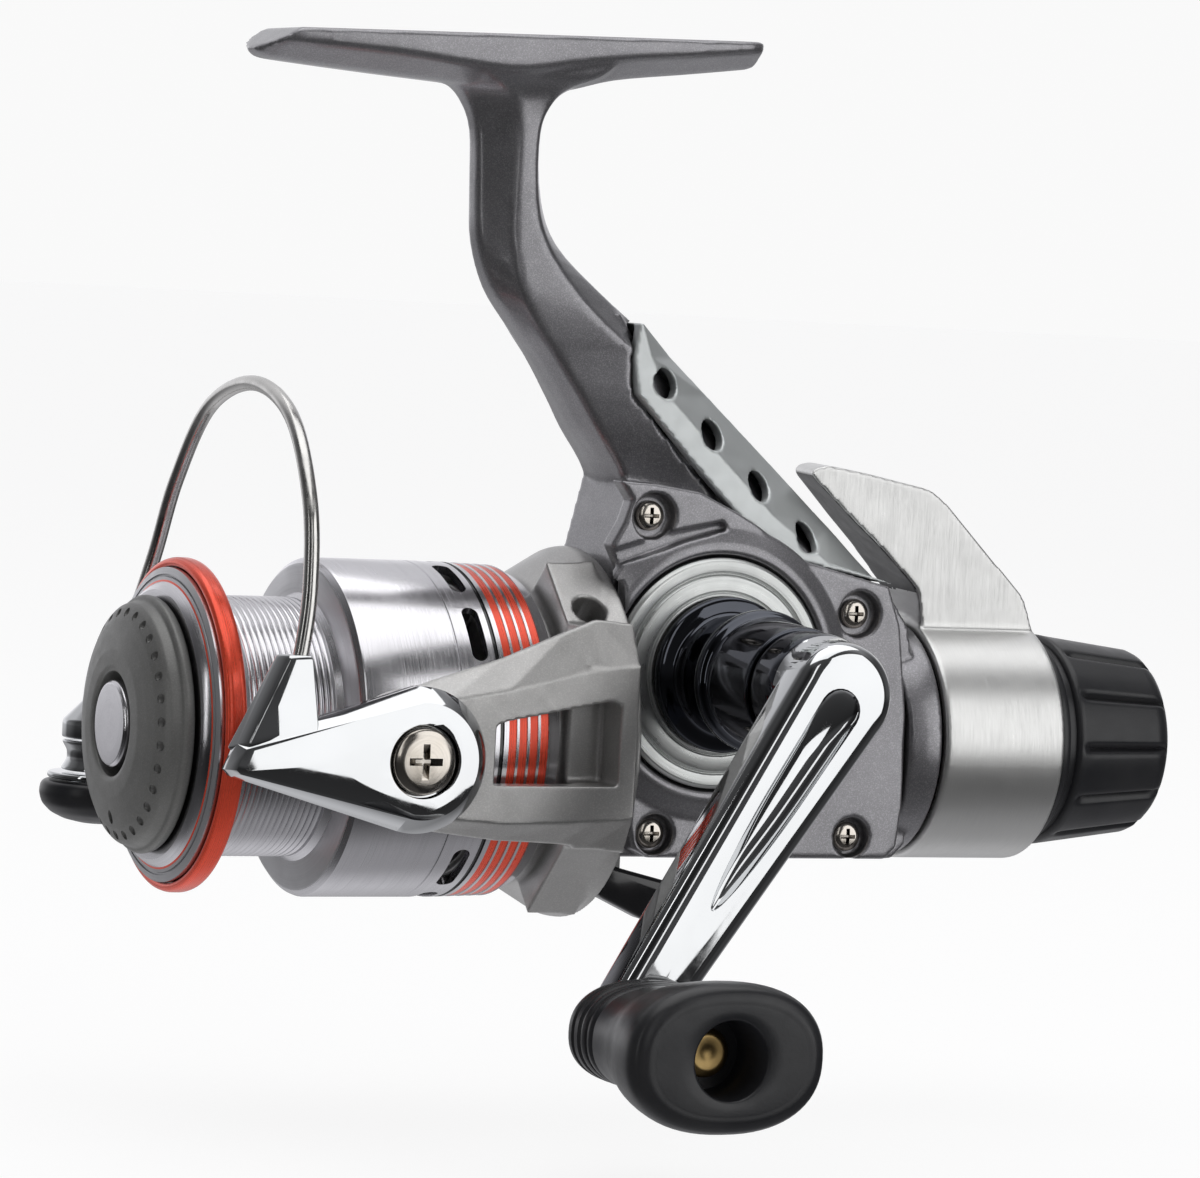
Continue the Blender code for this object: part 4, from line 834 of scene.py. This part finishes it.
def make_bail():
    boss = arc(BAIL, 9.3, 95, -105, 49)
    socket = worked(loft([
        [(-62.2, -27.2, -1.8), (-61.0, -29.6, -1.8), (-53.0, -29.8, -1.8), (-52.8, -27.2, -1.8)],
        [(-63.6, -26.6, -0.4), (-62.0, -30.0, 0.4), (-52.9, -30.2, 3.0), (-52.7, -26.2, 3.0)],
        [(-57.8, -26.5, 11.0), (-56.7, -28.8, 10.8), (-53.5, -29.0, 10.8), (-53.3, -26.1, 11.0)],
        [(-57.5, -26.7, 11.4), (-56.5, -28.5, 11.4), (-53.7, -28.7, 11.4), (-53.5, -26.3, 11.4)],
    ]), bevel=0.22)
    near = bail_plate(boss + [(-63.3, -3.9), (-64.2, -3.0), (-62.8, 0.2)], -1, [socket])
    piece("bail_arm_near", near, "bail", CHROME, "bail_arm_left", sharp=radians(24))
    neck = block((ROLLER[0] + 2, 28.2, -12.0), (-49.5, 31.0, -10.4))
    tongue = placed(rod(-12.0, -10.4, 4.4), "Z", (*ROLLER, 0))
    far = bail_plate(boss + [(-50.4, -12.0), (-50.4, 1.0)], 1, [neck, tongue])
    piece("bail_arm_far", far, "bail", CHROME, "bail_arm_right", sharp=radians(24))


def make_roller():
    at = (*ROLLER, 0)
    cone = [(1.2, 0), (1.2, 2.4), (0.9, 2.7), (0.3, 2.8), (-2.2, 5.2), (-2.6, 5.3), (-4.5, 5.3),
            (-4.6, 5.1), (-4.6, 1.5), (-10.1, 1.5), (-10.1, 0)]
    turned_piece("roller_cone_head", cone, "bail", CHROME, "roller_cone", "Z", at, reach=0.25)
    barrel = [(-4.9, 1.75), (-4.9, 5.1), (-5.2, 5.2), (-6.3, 4.55), (-7.4, 4.5), (-8.6, 5.2), (-8.9, 5.15),
              (-8.9, 1.75)]
    turned_piece("line_roller_barrel", barrel, "roller", CHROME, "line_roller", "Z", at, True)
    flange = [(-10.0, 1.75), (-10.0, 6.8), (-9.8, 7.0), (-9.4, 7.0), (-9.2, 6.8), (-9.2, 1.75)]
    turned_piece("roller_flange_ring", flange, "bail", CHROME, "roller_flange", "Z", at, True, reach=0.15)
    cap = [(-10.3, 4.8), (-10.3, 7.3), (-10.8, 7.85), (-12.0, 8.0), (-13.4, 7.6), (-14.6, 6.4),
           (-15.4, 4.7), (-15.9, 2.4), (-16.0, 0), (-12.4, 0), (-12.4, 4.8)]
    slot_cut = block((2.0, -2.1, -12.4), (11.0, 1.3, -9.0))
    turned_piece("roller_cap_dome", cap, "bail", BLACK_PLASTIC, "roller_cap", "Z", at, removed=[slot_cut],
                 reach=0.5)


def make_wire():
    knots = [(-54.4, -27.1, 12.1), (-53.4, -26.3, 20.0), (-52.7, -23.0, 30.5), (-52.1, -14.0, 40.6),
             (-51.8, 0.0, 44.2), (-52.2, 14.0, 40.6), (-52.9, 23.0, 30.5), (-54.0, 27.0, 20.0),
             (-56.4, 29.0, 9.6), (*ROLLER, 2.6)]
    path = smooth_rows([(-55.2, -27.4, 9.8)] + knots + [(*ROLLER, 0.6)], 10)
    points = [Vector(p) for p in path]
    rings = []
    side = Vector((1, 0, 0))
    for i, here in enumerate(points):
        ahead = (points[min(i + 1, len(points) - 1)] - points[max(i - 1, 0)]).normalized()
        side = (side - ahead * side.dot(ahead)).normalized()
        other = ahead.cross(side)
        rings.append([here + (side * cos(t) + other * sin(t)) for t in turns(20)])
    piece("bail_wire_bow", loft(rings), "bail", STEEL_WIRE, "bail_wire")


# ------------ rear drag

def make_drag_lever():
    cup = [(43.5, 4.6), (43.5, 14.2), (61.4, 14.2), (61.4, 12.4), (45.4, 12.4), (45.4, 4.6)]
    turned_piece("drag_can", cup, "housing", BLACK_PLASTIC, "drag_housing", "X", closed=True)
    band = placed(lathe(softened([(43.6, 14.7), (43.6, 16.2), (43.9, 16.4), (61.4, 16.4), (61.7, 16.2),
                                  (61.7, 14.7)], 0.2, True, 2), 128, True), "X")
    blade = softened([(44.2, 14.0), (44.2, 16.0), (43.5, 20.3), (37.8, 25.6), (33.0, 29.5), (26.0, 35.5),
                      (27.0, 36.4), (29.0, 36.7), (35.0, 35.8), (44.5, 34.0), (47.0, 32.3), (59.9, 19.7),
                      (61.4, 15.5), (61.4, 14.0)], 1.2, True, 4)
    far_side = [(x + max(0.0, (46.0 - x) * 0.18), z) for x, z in blade]
    blade = loft([[(x, y, z) for x, z in ring] for y, ring in ((-6.0, blade), (6.0, far_side))])
    lever = worked(band, [blade], [placed(rod(40.0, 65.0, 14.78, 96), "X")], voxel=0.3, passes=7)
    # painted shade: the blade's front-lower face above the band takes black plastic, standing for the shade
    # under the lever
    for face in lever.polygons:
        painted_shade_face = face.normal.dot(Vector((-0.65, 0.12, -0.75))) > 0.9
        face.material_index = int(painted_shade_face and face.center.z / MM > 17.5)
    piece("drag_lever_blade", lever, "fighting_lever", [SATIN_SILVER, BLACK_PLASTIC], "drag_lever",
          sharp=None)


def fluted(turn, height, radius):
    """The drag knob's grip, with a V-shaped groove between its 12 ribs."""
    low, high = 66.0, 80.5
    if not low < height < high or radius < 10.5:
        return radius
    fade = min(1.0, (height - low) / 1.2, high - height)
    phase = (turn * 12 / (2 * pi)) % 1.0
    near = abs(phase - 0.5) * 2
    return radius - fade * 0.95 * max(0.0, 1 - (1 - near) / 0.22)


def make_drag_knob():
    knob = [(72.0, 0), (72.0, 10.4), (62.2, 10.4), (62.2, 14.5), (62.5, 14.6), (63.4, 14.6), (63.7, 14.3),
            (63.9, 13.6), (65.0, 13.6), (65.2, 14.2), (65.6, 14.4)]
    knob += [(65.6 + 0.6 * i, 14.4 - 0.0762 * i) for i in range(1, 23)]
    knob += [(79.6, 12.4), (80.4, 11.7), (80.9, 10.9), (81.0, 9.6), (80.7, 9.3), (80.7, 4.0), (80.9, 3.6),
             (80.9, 0)]
    piece("drag_knob_grip", lathe(knob, 240, shape_of=fluted), "drag_adjuster", BLACK_PLASTIC, "drag_knob",
          "X", sharp=radians(50))


for make in (make_body, make_cover, make_trim, make_case_fittings, make_paddle, make_crank, make_knob,
             make_spool, make_spool_front, make_rotor, make_bail, make_roller, make_wire,
             make_drag_lever, make_drag_knob):
    make()

KEPT = {
    STEEL: ["bearing_left", "bearing_right", "pinion_bearing", "oscillation_guide_rod", "drag_washer_steel",
            "drag_spring", "drive_shaft", "rotor_nut", "ratchet_wheel", "bail_spring", "oscillation_slider",
            "main_shaft", "drag_sleeve", "anti_reverse_pawl"],
    BRASS: ["drive_gear", "oscillation_drive_gear", "pinion_gear", "drag_nut"],
    BLACK_PLASTIC: ["oscillation_gear"],
    FELT: ["spool_washer", "drag_washer_front", "drag_washer_rear"],
}
for material, names in KEPT.items():
    for name in names:
        slots = NODES[name].data.materials
        slots.clear()
        slots.append(material)

# ------------ floor, light and camera

FLOOR_Z = -0.1418
FLOOR_GLOW = 0.86
BACKDROP = (0.95, 0.95, 0.95, 1.0)


def make_floor():
    paper = bpy.data.materials.new("floor_paper")
    made = Nodes(paper)
    tone = made.blend(made.noise(6.0, 3.0), (0.12, 0.12, 0.12), (0.115, 0.115, 0.116))
    bump = made.node("Bump", {"Height": made.noise(900.0, 3.0), "Distance": 0.00004, "Strength": 0.3})
    made.fill(made.shader, {"Base Color": tone, "Roughness": 0.9, "Emission Color": (1.0, 1.0, 1.0, 1.0),
                            "Emission Strength": FLOOR_GLOW, "Normal": bump.outputs[0]})
    shape = bmesh.new()
    bmesh.ops.create_grid(shape, x_segments=8, y_segments=8, size=14.0)
    floor = added("floor", mesh_from(shape))
    floor.location = (0, 0, FLOOR_Z)
    floor.data.materials.append(paper)
    floor.visible_glossy = False


REEL_MIDDLE = Vector((0.0, 0.0, -0.07))
# Place, width, height and power
LIGHTS = {
    "key_box": ((0.64, -0.95, 0.20), 0.92, 1.1, 4.3),
    "top_box": ((0.05, -0.05, 0.95), 1.35, 1.15, 6.2),
    "left_strip": ((-0.95, -0.38, 0.16), 0.10, 0.75, 0.45),
    "front_fill": ((-0.35, -1.05, 0.35), 0.16, 0.8, 0.5),
}


def make_lights():
    for name, (at, width, height, power) in LIGHTS.items():
        lamp = bpy.data.lights.new(name, "AREA")
        lamp.shape = "RECTANGLE"
        lamp.size = width
        lamp.size_y = height
        lamp.energy = power
        obj = added(name, lamp)
        obj.location = at
        obj.rotation_euler = (REEL_MIDDLE - Vector(at)).to_track_quat("-Z", "Y").to_euler()


# Brightness of what the metal mirrors, from -1 (at 0) to 1 (at 1) along each axis
TONES = {
    "X": ((0.0, 0.16), (0.2, 0.28), (0.29, 0.9), (0.5, 1.0), (0.85, 0.9), (0.94, 0.3), (1.0, 0.25)),
    "Y": ((0.0, 0.07), (0.24, 0.10), (0.42, 0.36), (0.62, 0.38), (0.80, 0.9), (1.0, 1.0)),
    "Z": ((0.0, 0.95), (0.2, 0.6), (0.44, 0.35), (0.49, 1.0), (0.56, 1.0), (0.7, 0.7), (1.0, 0.9)),
}


def make_world():
    """A pale backdrop to look at, and a darker studio for the metal to mirror."""
    world = bpy.data.worlds.new("studio")
    bpy.context.scene.world = world
    made = Nodes(world, "Background")
    direction = made.node("SeparateXYZ", {0: made.coordinates["Generated"]}).outputs
    mirrored = (1.0, 1.0, 1.0, 1.0)
    for axis, stops in TONES.items():
        along = made.node("MapRange", {"Value": direction[axis], "From Min": -1.0}).outputs[0]
        ramp = made.node("ValToRGB", {"Fac": along})
        elements = ramp.color_ramp.elements
        for i, (place, tone) in enumerate(stops):
            element = elements[i] if i < 2 else elements.new(place)
            element.position = place
            element.color = (tone, tone, tone * 1.01, 1.0)
        mirrored = made.node("Mix", {0: 1.0, 6: mirrored, 7: ramp.outputs["Color"]}, data_type="RGBA",
                             blend_type="MULTIPLY").outputs[2]
    seen = made.blend(made.node("LightPath").outputs["Is Camera Ray"], mirrored, BACKDROP)
    made.fill(made.shader, {"Color": seen})


LENS = 172.92
SENSOR_WIDTH = 36.0
CAMERA_AT = (-0.307531, -0.6891, -0.030089)
CAMERA_AXES = ((0.90389, -0.02562, -0.42700), (-0.42431, 0.07282, -0.90259), (0.05422, 0.99702, 0.05495))


def make_camera():
    camera = added("camera", bpy.data.cameras.new("camera"))
    camera.data.lens = LENS
    camera.data.sensor_width = SENSOR_WIDTH
    camera.data.clip_start, camera.data.clip_end = 0.05, 60.0
    camera.matrix_world = Matrix.Translation(CAMERA_AT) @ Matrix(CAMERA_AXES).to_4x4()
    bpy.context.scene.camera = camera


make_floor()
make_world()
make_camera()
make_lights()
bpy.context.scene.view_settings.view_transform = "Standard"
